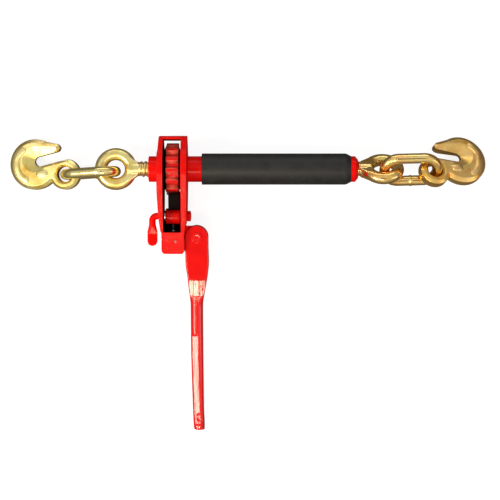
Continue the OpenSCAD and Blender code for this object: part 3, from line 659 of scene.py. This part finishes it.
tooth = bpy.data.objects.new("tooth", tooth_mesh())
scene.collection.objects.link(tooth)
teeth_mesh = repeat_round("wheel_teeth", tooth, TOOTH_COUNT, math.pi / 2, WHEEL_RED)
bpy.data.objects.remove(tooth)
rim_left = WHEEL_X - WHEEL_HALF
rim_right = WHEEL_X + WHEEL_HALF
wheel_body = lathe(rounded([
    (-WHEEL_HUB_HALF, BARREL_R + 0.02), (-WHEEL_HUB_HALF, WHEEL_HUB_R),
    (rim_left - 0.5, LEFT_FLANK_R), (rim_left, LEFT_FLANK_R), (rim_left, WHEEL_ROOT_R),
    (rim_right, WHEEL_ROOT_R), (rim_right, RIGHT_FLANK_R), (rim_right + 0.5, RIGHT_FLANK_R),
    (WHEEL_HUB_HALF, WHEEL_HUB_R), (WHEEL_HUB_HALF, BARREL_R + 0.02)],
    [0.2, 1.0, 0.2, 0.1, 0.1, 0.1, 0.1, 0.2, 1.0, 0.2]))
wheel_mesh = placed(joined(wheel_body, teeth_mesh), HEAD_PLACE)
add_piece("wheel", wheel_mesh, WHEEL_RED, "barrel", "ratchet_wheel")
# Painted shade: the flanks and hub ends beside the teeth go near-black
blacken(wheel_mesh, HEAD_PLACE, shaded_wheel_flank)

# ---------------------------------------------------------------------------
# Eye bolts
# Drop forged eyes on coarse rolled screws, one left-handed and one right-handed, in yellow zinc.
# ---------------------------------------------------------------------------
SCREW_R = 11.2
SCREW_ROOT_R = 9.5
PITCH = 6.35
CREST = 0.30
THREAD_FLANK = 0.20
STEPS_PER_PITCH = 10
LEFT_NECK = -45.0
LEFT_SCREW = (-47.5, 104.8)
RIGHT_NECK = 262.0
RIGHT_SCREW = (264.5, 121.7)


def yellow_zinc(name, roughness, relief, warmth=0.0):
    """Yellow chromate on zinc: gold with pale, olive and rosy clouds over a forged skin, a painted
    highlight on its sharp edges and painted shade in its hollows. Warmth turns it towards copper."""
    material, tree, shader = new_material(name)
    green = 1.0 - 0.24 * warmth
    blue = 1.0 - 0.42 * warmth
    cloud = noise_texture(tree, (-700, 300), 42.0, 5.0, 0.62)
    gold = colour_ramp(tree, (-450, 300), cloud, [
        (0.28, (0.70, 0.40 * green, 0.09 * blue)),
        (0.42, (0.90, 0.68 * green, 0.24 * blue)),
        (0.60, (0.97, 0.85 * green, 0.38 * blue)),
        (0.76, (0.88, 0.52 * green, 0.16 * blue))])
    tint_cloud = noise_texture(tree, (-700, 0), 24.0, 3.0, 0.5)
    tint = colour_ramp(tree, (-450, 0), tint_cloud, [
        (0.34, (0.66, 0.68, 0.36)), (0.5, (1.0, 1.0, 1.0)), (0.68, (1.0, 0.72, 0.60))])
    blend = node(tree, "ShaderNodeMixRGB", (-150, 200), blend_type="MULTIPLY", Fac=0.55)
    tree.links.new(gold, blend.inputs["Color1"])
    tree.links.new(tint, blend.inputs["Color2"])
    # Painted highlight: a pale gold laid on the sharpest convex edges
    edge = node(tree, "ShaderNodeNewGeometry", (-700, 600))
    edge_highlight_mask = colour_ramp(tree, (-450, 600), edge.outputs["Pointiness"], [
        (0.0, grey(0.0)), (0.52, grey(0.0)), (0.60, grey(1.0))])
    bright = laid_over(tree, (150, 300), blend.outputs[0], (0.95, 0.88, 0.66),
                       times(tree, (-150, 500), edge_highlight_mask, 0.6))
    # Painted shade: dark brown laid in the hollows, where the shadow falls
    hollow_shade_mask = colour_ramp(tree, (-450, 900), edge.outputs["Pointiness"], [
        (0.0, grey(0.85)), (0.40, grey(0.85)), (0.485, grey(0.0))])
    hollow_shaded = laid_over(tree, (350, 300), bright, (0.20, 0.10, 0.025), hollow_shade_mask)
    tree.links.new(hollow_shaded, shader.inputs["Base Color"])
    shader.inputs["Metallic"].default_value = 1.0
    shine = colour_ramp(tree, (-450, -300), cloud, [
        (0.3, grey(roughness + 0.10)), (0.7, grey(roughness))])
    tree.links.new(shine, shader.inputs["Roughness"])
    skin = noise_texture(tree, (-700, -600), 520.0, 4.0, 0.65)
    lumps = noise_texture(tree, (-700, -850), 95.0, 2.0, 0.5)
    add_bump(tree, shader, [(skin, relief * 0.5), (lumps, relief * 1.6)], 0.0005)
    return material


FORGED_ZINC = yellow_zinc("yellow_zinc_forged", 0.30, 0.28)
ROD_ZINC = yellow_zinc("yellow_zinc_rod", 0.16, 0.3)
WARM_FORGED = yellow_zinc("warm_zinc_forged", 0.30, 0.28, 1.0)
WARM_ROD = yellow_zinc("warm_zinc_rod", 0.16, 0.3, 0.6)


def thread_height(phase):
    """How far the thread stands up, from 0 at the root to 1 at the crest, along one pitch."""
    t = phase % 1.0
    if t < CREST:
        return 1.0
    if t < CREST + THREAD_FLANK:
        return 1.0 - (t - CREST) / THREAD_FLANK
    if t < 1.0 - THREAD_FLANK:
        return 0.0
    return (t - (1.0 - THREAD_FLANK)) / THREAD_FLANK


def screw_mesh(x_from, x_to, hand):
    """A rolled screw along X with a true helix; hand is 1 for right-handed, -1 for left-handed."""
    around = 72
    steps = int(abs(x_to - x_from) / PITCH * STEPS_PER_PITCH)
    direction = 1 if x_to > x_from else -1
    verts, faces = [], []
    for i in range(steps + 1):
        x = x_from + direction * i * PITCH / STEPS_PER_PITCH
        fade = max(0.0, min(1.0, i / 8.0, (steps - i) / 10.0))
        for k in range(around):
            a = 2 * math.pi * k / around
            height = thread_height(x / PITCH - hand * k / around) * fade
            r = SCREW_ROOT_R + (SCREW_R - SCREW_ROOT_R) * height
            verts.append((x, r * math.cos(a), r * math.sin(a)))
    for i in range(steps):
        for k in range(around):
            n = (k + 1) % around
            a, b = i * around, (i + 1) * around
            faces.append((a + k, b + k, b + n, a + n))
    faces.append(tuple(range(around)))
    faces.append(tuple(steps * around + k for k in reversed(range(around))))
    mesh = bpy.data.meshes.new("screw")
    mesh.from_pydata(verts, [], faces)
    return mesh


def eye_mesh(cad_node, keep):
    """The forged eye and neck, cut from the bolt where keep(x) is true, with soft edges."""
    work = bmesh.new()
    work.from_mesh(forged(cad_node, 0.7, 6))
    lost = [v for v in work.verts if not keep(v.co.x / MM - HEAD_CENTRE.x)]
    bmesh.ops.delete(work, geom=lost, context="VERTS")
    rim = [e for e in work.edges if e.is_boundary]
    bmesh.ops.holes_fill(work, edges=rim, sides=0)
    return as_mesh(work, "eye")


left_eye = eye_mesh("left_eye_bolt", lambda x: x < LEFT_NECK)
left_screw = placed(screw_mesh(*LEFT_SCREW, -1), AXIS_PLACE)
add_piece("left_bolt", joined(left_eye, left_screw), FORGED_ZINC, "left_bolt",
          "left_eye_bolt")
right_eye = eye_mesh("right_eye_bolt", lambda x: x > RIGHT_NECK)
right_screw = placed(screw_mesh(*RIGHT_SCREW, 1), AXIS_PLACE)
add_piece("right_bolt", joined(right_eye, right_screw), WARM_ROD, "right_bolt",
          "right_eye_bolt")

# ---------------------------------------------------------------------------
# Chain links
# Round steel rod bent to a long link and butt welded in one side, so that a bead stands out there
# between two shallow rings from the welder's jaws. Zinc plated like the bolts.
# ---------------------------------------------------------------------------
LINK_ROD_R = 7.19
LINK_BEND = 19.6
LINK_HALF = 17.4
WELD_RIDGE = 0.843
WELD_RIDGE_HALF = 1.5
WELD_RING = 0.119
WELD_RING_HALF = 0.5
WELD_RING_X = 2.9


def arc(centre, radius, start, end, steps):
    """Points along an arc, both ends included; the angles are in radians."""
    angles = [start + (end - start) * i / steps for i in range(steps + 1)]
    return [(centre[0] + radius * math.cos(a), centre[1] + radius * math.sin(a)) for a in angles]


def swept_rod(path, radius, material):
    """A round rod along a curve object."""
    group, entry, leave, keys = new_tree("chain_link", [
        ("Path", "NodeSocketObject"), ("Rod Radius", "NodeSocketFloat"),
        ("Material", "NodeSocketMaterial")])
    source = node(group, "GeometryNodeObjectInfo", (-450, 100))
    circle = node(group, "GeometryNodeCurvePrimitiveCircle", (-450, -200), Resolution=48)
    sweep = node(group, "GeometryNodeCurveToMesh", (-100, 0))
    link = group.links.new
    link(entry.outputs["Path"], source.inputs["Object"])
    link(source.outputs["Geometry"], sweep.inputs["Curve"])
    link(entry.outputs["Rod Radius"], circle.inputs["Radius"])
    link(circle.outputs[0], sweep.inputs["Profile Curve"])
    made_real(group, entry, leave, sweep.outputs[0])
    return grown(group, keys, (path, radius, material))


def link_mesh():
    """One link lying flat with its long side along X, in millimetres."""
    quarter = math.pi / 2
    points = arc((LINK_HALF, 0), LINK_BEND, -quarter, quarter, 28)
    points += [(LINK_HALF - 2 * LINK_HALF * i / 24, LINK_BEND) for i in range(1, 24)]
    points += arc((-LINK_HALF, 0), LINK_BEND, quarter, 3 * quarter, 28)
    points += [(-LINK_HALF + 2 * LINK_HALF * i / 48, -LINK_BEND) for i in range(1, 48)]
    curve = bpy.data.curves.new("link_path", "CURVE")
    curve.dimensions = "3D"
    spline = curve.splines.new("POLY")
    spline.points.add(len(points) - 1)
    for point, (x, y) in zip(spline.points, points):
        point.co = (x, y, 0.0, 1.0)
    spline.use_cyclic_u = True
    path = bpy.data.objects.new("link_path", curve)
    scene.collection.objects.link(path)
    mesh = swept_rod(path, LINK_ROD_R, ROD_ZINC)
    bpy.data.objects.remove(path)
    for v in mesh.vertices:
        if v.co.y < -5 and abs(v.co.x) < LINK_HALF:
            ridge = math.exp(-((v.co.x / WELD_RIDGE_HALF) ** 2))
            ring = math.exp(-(((abs(v.co.x) - WELD_RING_X) / WELD_RING_HALF) ** 2))
            swell = 1.0 + (WELD_RIDGE * ridge - WELD_RING * ring) / LINK_ROD_R
            v.co.y = -LINK_BEND + (v.co.y + LINK_BEND) * swell
            v.co.z = v.co.z * swell
    return mesh


def turned(matrix, *turns):
    """Applies (degrees, axis) turns in order, the last one nearest the piece."""
    for degrees, axis in turns:
        matrix = matrix @ Matrix.Rotation(math.radians(degrees), 4, axis)
    return matrix


LEFT_LINK_PLACE = turned(AXIS_PLACE @ Matrix.Translation((-115.4, -5.05, -9.0)),
                         (3, "Z"), (-20, "Y"), (90, "X"))
RIGHT_LINK_PLACE = turned(AXIS_PLACE @ Matrix.Translation((333.4, -0.9, 4.2)),
                          (1.6, "Z"), (0.4, "Y"), (41, "X"))
add_piece("left_chain_link", placed(link_mesh(), LEFT_LINK_PLACE), ROD_ZINC, "left_link",
          "left_link")
add_piece("right_chain_link", placed(link_mesh(), RIGHT_LINK_PLACE), WARM_ROD, "right_link",
          "right_link")

# ---------------------------------------------------------------------------
# Grab hooks
# Drop forgings with a narrow slot that takes one chain link on edge. Both faces carry a raised
# crescent round the back and a raised oval on the shank, left bare and struck deeper on one side.
# ---------------------------------------------------------------------------
HOOK_T = 18.0
HOOK_BACK = (44.1, 14.0)
# How far a pad rises and how wide its slope is, on the deeper and on the shallower face
DEEP_PAD = (1.4, 1.2)
SHALLOW_PAD = (0.5, 0.45)


def pad_mesh(outline, low, high, slope):
    """A raised pad with sloping edges from a closed outline of (u, v) points."""
    work = bmesh.new()
    base = [work.verts.new((u, v, low)) for u, v in outline]
    face = work.faces.new(base)
    raised = bmesh.ops.extrude_face_region(work, geom=[face])
    top = [v for v in raised["geom"] if isinstance(v, bmesh.types.BMVert)]
    bmesh.ops.translate(work, verts=top, vec=(0, 0, high - low))
    bmesh.ops.recalc_face_normals(work, faces=work.faces)
    rim = []
    for e in work.edges:
        on_top = all(v.co.z > (low + high) / 2 for v in e.verts)
        if on_top and abs(e.link_faces[0].normal.z - e.link_faces[1].normal.z) > 0.3:
            rim.append(e)
    bmesh.ops.bevel(work, geom=rim, offset=slope, segments=2, profile=0.5, affect="EDGES")
    return as_mesh(work, "pad")


def crescent_outline(radius, width, start, end):
    """A band around the hook's back with round ends."""
    start, end = math.radians(start), math.radians(end)
    half = width / 2
    tail, tip = (arc(HOOK_BACK, radius, a, a, 1)[0] for a in (start, end))
    return (arc(HOOK_BACK, radius + half, start, end, 36)
            + arc(tip, half, end, end + math.pi, 10)[1:-1]
            + arc(HOOK_BACK, radius - half, end, start, 36)
            + arc(tail, half, start + math.pi, start + 2 * math.pi, 10)[1:-1])


def oval_outline(u, v, length, width, tilt):
    """A flat oval like a stadium, turned by tilt."""
    half = width / 2
    reach = length / 2 - half
    quarter = math.pi / 2
    points = (arc((reach, 0), half, -quarter, quarter, 12)
              + arc((-reach, 0), half, quarter, 3 * quarter, 12))
    c, s = math.cos(math.radians(tilt)), math.sin(math.radians(tilt))
    return [(u + x * c - y * s, v + x * s + y * c) for x, y in points]


def hook_pads(place, upper):
    """The raised pads of one hook, on both faces; upper is the side that is struck deeper."""
    outlines = (crescent_outline(radius=25.2, width=8.4, start=-64, end=52),
                oval_outline(u=32, v=0.4, length=15.6, width=10, tilt=-3))
    meshes = []
    for outline in outlines:
        for side in (1, -1):
            rise, slope = DEEP_PAD if side == upper else SHALLOW_PAD
            mesh = pad_mesh(outline, HOOK_T / 2 - 1.0, HOOK_T / 2 + rise, slope)
            if side < 0:
                mesh.transform(Matrix.Scale(-1, 4, (0, 0, 1)))
                mesh.flip_normals()
            meshes.append(placed(mesh, place))
    return meshes


LEFT_HOOK_PLACE = turned(AXIS_PLACE @ Matrix.Translation((-151.3, -6.45, -19.8)),
                         (-9.8, "Y"), (180, "Y"))
RIGHT_HOOK_PLACE = turned(AXIS_PLACE @ Matrix.Translation((366.4, -3.7, 0.4)),
                          (3.9, "Z"), (18.4, "Y"), (-23, "X"))
for side, place, upper, finish in (("left", LEFT_HOOK_PLACE, -1, FORGED_ZINC),
                                   ("right", RIGHT_HOOK_PLACE, 1, WARM_FORGED)):
    hook_mesh = joined(forged(side + "_hook", 0.42, 1), *hook_pads(place, upper))
    add_piece(side + "_grab_hook", hook_mesh, finish, side + "_hook", side + "_hook")

# ---------------------------------------------------------------------------
# Pawl
# A red hub on a cross shaft carries the black hardened dog, whose two horns catch the wheel.
# ---------------------------------------------------------------------------
HUB_Y = -66.0
HUB_R = 10.85
HUB_BORE_R = 4.72
PAWL_PLACE = HEAD_PLACE @ Matrix.Translation((0, HUB_Y, 0))

hub_outline = rounded([(-9.5, HUB_BORE_R), (-9.5, HUB_R), (10.9, HUB_R), (10.9, HUB_BORE_R)],
                      [0.2, 1.4, 1.4, 0.2])
add_piece("hub", placed(lathe(hub_outline, 96), PAWL_PLACE), CASTING_RED, "pawl",
          "pawl_hub")
BLACK_OXIDE = shade_and_oxide_black("black_oxide", 0.36)
add_piece("dog", forged("pawl_dog", 0.5, 4), BLACK_OXIDE, "pawl", "pawl_dog")

# ---------------------------------------------------------------------------
# Pawl lever, nut and washers
# The cross shaft is one rod with the lever: it is bent down outside the left plate and flattened
# to a paddle. A nut holds its right end.
# ---------------------------------------------------------------------------
DARK_RED = red_enamel("red_enamel_nut", 0.34, 0.3)
add_piece("lever", forged("pawl_lever", 0.45, 8), TUBE_RED, "pawl", "pawl_lever")
add_piece("shaft_nut", forged("pawl_shaft_nut", 0.35, 4), DARK_RED, "pawl",
          "pawl_shaft_nut")
add_piece("hub_washers", forged("pawl_washers", 0.3, 2), BRIGHT_STEEL, "pawl",
          "pawl_washers")

# ---------------------------------------------------------------------------
# Detent
# A spring in the block presses a dark steel plunger through its bright bushing against the hub.
# ---------------------------------------------------------------------------
PLUNGER_X = 1.0
PLUNGER_R = 3.0
PLUNGER_HEAD_R = 3.95
BUSHING_R = 4.6
PLUNGER_PLACE = turned(HEAD_PLACE @ Matrix.Translation((PLUNGER_X, 0, 0)), (90, "Z"))

DARK_STEEL = plain_steel("dark_steel", (0.03, 0.028, 0.028), (0.09, 0.085, 0.085), 0.34)
plunger_outline = rounded([
    (-97.3, 0), (-97.3, PLUNGER_HEAD_R), (-95.3, PLUNGER_HEAD_R), (-95.3, PLUNGER_R),
    (-77.15, PLUNGER_R), (-77.15, 0)],
    [0, 0.3, 0.3, 0.3, 1.1, 0])
add_piece("plunger", placed(lathe(plunger_outline, 64), PLUNGER_PLACE), DARK_STEEL, "plunger",
          "detent_plunger")
bushing_outline = rounded([
    (-88.5, PLUNGER_R + 0.05), (-88.5, BUSHING_R), (-85.2, BUSHING_R),
    (-85.2, PLUNGER_R + 0.05)],
    [0.1, 0.2, 0.6, 0.2])
add_piece("bushing", placed(lathe(bushing_outline, 64), PLUNGER_PLACE), BRIGHT_STEEL,
          "ratchet_head", "plunger_bushing")

# ---------------------------------------------------------------------------
# Handle
# A forged bar whose forked flat head turns on the frame's lug. Below the head a sloping facet with
# forging lines leads to a round tapered tube, pressed flat along its top. It is painted glossy red.
# ---------------------------------------------------------------------------
PIVOT = (33.7, -95.4)
FORK_R = 16.4
FORK_T = 21.0
FORK_CORNER = 2.2
FORK_STEPS = 26
FORK_SLOT = ((-10, -116.4, -5.3), (80, -60, 5.3))
FACET_START = -154.0
FACET_END = -178.5
FACET_TILT = math.radians(6)
DENT = (36.6, -351.0)
DENT_SPREAD = (3.0, 5.5)
DENT_DEPTH = 0.9
# y, left edge, right edge, thickness, corner radius
HANDLE_STATIONS = [
    (-95.4, 17.3, 50.1, 21.0, 2.2),
    (-112.0, 17.55, 50.15, 21.0, 2.2),
    (-124.0, 17.9, 50.7, 21.0, 2.2),
    (-135.0, 18.2, 50.8, 21.0, 2.3),
    (-146.0, 19.9, 49.6, 21.0, 2.6),
    (-153.0, 21.1, 48.6, 21.0, 3.2),
    (-160.0, 21.6, 47.3, 20.3, 2.6),
    (-168.0, 22.5, 45.9, 19.4, 2.8),
    (-178.0, 23.8, 44.0, 18.2, 4.0),
    (-188.0, 24.9, 42.5, 17.2, 8.6),
    (-211.0, 25.0, 42.5, 16.9, 8.45),
    (-260.0, 25.4, 42.8, 16.2, 8.1),
    (-305.0, 26.6, 43.2, 15.5, 7.75),
    (-341.0, 27.8, 43.6, 14.9, 7.4),
    (-357.0, 28.4, 44.4, 15.6, 7.8),
    (-367.5, 29.1, 44.5, 15.3, 7.6),
    (-368.6, 30.0, 44.3, 14.4, 7.1),
    (-369.2, 31.0, 43.3, 12.4, 6.1),
]
# Lengthwise flats on the tube: y from and to, tilt to the left and half width, in degrees
HANDLE_FLATS = [(-232.0, -366.0, 18.0, 33.0), (-188.0, -231.0, 14.0, 14.0)]
# Forging lines in the facet: x where they start, width, and lean in degrees
FORGING_LINES = [(29.9, 0.9, -3), (36.9, 1.6, 1), (40.2, 0.8, -3), (43.6, 1.0, -4)]

HANDLE_RED = red_enamel("red_enamel_handle", 0.16, 0.03, 1.0, 1.0, 0.4)


def section(width, depth, corner, count=14):
    """A rounded rectangle in the XZ plane as a ring of points about its centre."""
    half_w, half_d = width / 2, depth / 2
    corner = max(0.02, min(corner, half_w - 0.01, half_d - 0.01))
    ring = []
    for quarter, (sx, sz) in enumerate(((1, 1), (-1, 1), (-1, -1), (1, -1))):
        centre = (sx * (half_w - corner), sz * (half_d - corner))
        start = math.pi / 2 * quarter
        ring += arc(centre, corner, start, start + math.pi / 2, count - 1)
    return ring


def pressed(x, z, y, width, depth):
    """A point of the handle's section at y, moved onto the facet and the flats that cut it."""
    if FACET_END < y < FACET_START:
        z = min(z, FORK_T / 2 - (FACET_START - y) * math.tan(FACET_TILT))
    for start, end, tilt, spread in HANDLE_FLATS:
        if not end < y < start:
            continue
        fade = min(1.0, (start - y) / 3.0, (y - end) / 6.0)
        lean = math.radians(tilt)
        reach = math.hypot(width / 2 * math.sin(lean), depth / 2 * math.cos(lean))
        limit = reach * math.cos(math.radians(spread) * fade)
        over = z * math.cos(lean) - x * math.sin(lean) - limit
        if over > 0:
            x += over * math.sin(lean)
            z -= over * math.cos(lean)
    return x, z


def handle_rings():
    """Stations down the whole handle, from the round head to the end, with softened changes."""
    rings = []
    for i in range(FORK_STEPS):
        a = math.pi / 2 * i / FORK_STEPS
        half = max(0.25, FORK_R * math.sin(a))
        rings.append([PIVOT[1] + FORK_R * math.cos(a), PIVOT[0] - half, PIVOT[0] + half, FORK_T,
                      FORK_CORNER])
    for upper, lower in zip(HANDLE_STATIONS, HANDLE_STATIONS[1:]):
        steps = max(1, int((upper[0] - lower[0]) / 1.5))
        for i in range(steps):
            rings.append([a + (b - a) * i / steps for a, b in zip(upper, lower)])
    rings.append(list(HANDLE_STATIONS[-1]))
    for _ in range(10):
        before = [list(ring) for ring in rings]
        for i in range(FORK_STEPS + 3, len(rings) - 12):
            for k in range(1, 5):
                rings[i][k] = (before[i - 1][k] + 2 * before[i][k] + before[i + 1][k]) / 4
    return rings


def handle_mesh():
    """The handle lofted through its rings, with the dent near the end of the tube."""
    verts, faces = [], []
    rings = handle_rings()
    for y, left, right, depth, corner in rings:
        ring = section(right - left, depth, corner)
        for x, z in ring:
            x, z = pressed(x, z, y, right - left, depth)
            verts.append(((left + right) / 2 + x, y, z))
    count = len(ring)
    for i in range(len(rings) - 1):
        for k in range(count):
            n = (k + 1) % count
            a, b = i * count, (i + 1) * count
            faces.append((a + k, a + n, b + n, b + k))
    faces.append(tuple(reversed(range(count))))
    faces.append(tuple((len(rings) - 1) * count + k for k in range(count)))
    mesh = bpy.data.meshes.new("handle")
    mesh.from_pydata(verts, [], faces)
    work = bmesh.new()
    work.from_mesh(mesh)
    bmesh.ops.remove_doubles(work, verts=work.verts, dist=1e-4)
    bmesh.ops.recalc_face_normals(work, faces=work.faces)
    for v in work.verts:
        if v.co.z > 2 and v.co.y < -330:
            across = (v.co.x - DENT[0]) / DENT_SPREAD[0]
            along = (v.co.y - DENT[1]) / DENT_SPREAD[1]
            v.co.z -= DENT_DEPTH * math.exp(-(across ** 2 + along ** 2) ** 2)
    return as_mesh(work, "handle")


def box_mesh(low, high):
    """A plain block between two corners."""
    work = bmesh.new()
    bmesh.ops.create_cube(work, size=1.0)
    for v in work.verts:
        v.co = Vector([low[i] + (high[i] - low[i]) * (v.co[i] + 0.5) for i in range(3)])
    return as_mesh(work, "box")


def cut(mesh, *tools):
    """Cuts tool meshes out of a mesh."""
    target = bpy.data.objects.new("target", mesh)
    scene.collection.objects.link(target)
    helpers = []
    for tool in tools:
        helper = bpy.data.objects.new("tool", tool)
        scene.collection.objects.link(helper)
        helpers.append(helper)
        modifier = target.modifiers.new("cut", "BOOLEAN")
        modifier.operation = "DIFFERENCE"
        modifier.solver = "EXACT"
        modifier.object = helper
    result = baked(target)
    for helper in [target] + helpers:
        bpy.data.objects.remove(helper)
    return result


def forging_line(x, width, lean):
    """A tool for one shallow lengthwise groove in the facet below the head."""
    side = width / math.sqrt(2)
    tool = box_mesh((-side / 2, -23.4, -side / 2), (side / 2, -0.6, side / 2))
    tool.transform(turned(Matrix.Translation((x, FACET_START, FORK_T / 2))
                          @ Matrix.Rotation(FACET_TILT, 4, "X"), (lean, "Z"), (45, "Y")))
    return tool


handle_body = placed(cut(handle_mesh(), box_mesh(*FORK_SLOT),
                         *[forging_line(*line) for line in FORGING_LINES]), HEAD_PLACE)
add_piece("folding_handle", handle_body, HANDLE_RED, "handle", "handle")
handle_body.set_sharp_from_angle(angle=math.radians(24))

# ---------------------------------------------------------------------------
# Handle pin and its washer
# A shouldered rivet through both cheeks: its head is a turned ring with a dimple from the punch.
# ---------------------------------------------------------------------------
PIN_R = 5.0
PIN_HEAD_R = 7.45
CHEEK_FACE = 10.52
PIN_PLACE = turned(HEAD_PLACE @ Matrix.Translation((PIVOT[0], PIVOT[1], 0)), (-90, "Y"))

pin_outline = rounded([
    (-13.5, 0), (-13.5, PIN_R), (CHEEK_FACE, PIN_R), (CHEEK_FACE, PIN_HEAD_R),
    (12.5, PIN_HEAD_R), (12.5, 4.4), (12.0, 3.6), (11.5, 0.0)],
    [0, 1.2, 0, 0.2, 1.0, 0.7, 0.3, 0])
add_piece("rivet", placed(lathe(pin_outline, 96), PIN_PLACE), HANDLE_RED, "handle",
          "handle_pin")
washer_outline = rounded([
    (-12.12, PIN_R + 0.02), (-12.12, PIN_HEAD_R), (-CHEEK_FACE, PIN_HEAD_R),
    (-CHEEK_FACE, PIN_R + 0.02)],
    [0.2, 0.5, 0.5, 0.2])
add_piece("rivet_washer", placed(lathe(washer_outline, 96), PIN_PLACE), BRIGHT_STEEL, "handle",
          "pin_washer")

# ---------------------------------------------------------------------------
# Hidden and small parts that keep their plain solids
# Key, stop collars, cross pins, spring, plug and the small pin in the block.
# ---------------------------------------------------------------------------
for name in ("wheel_key", "left_stop_collar", "right_stop_collar", "left_stop_pin",
             "right_stop_pin", "detent_spring", "spring_plug", "block_pin"):
    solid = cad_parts[name]
    solid.data.materials.clear()
    solid.data.materials.append(BRIGHT_STEEL)
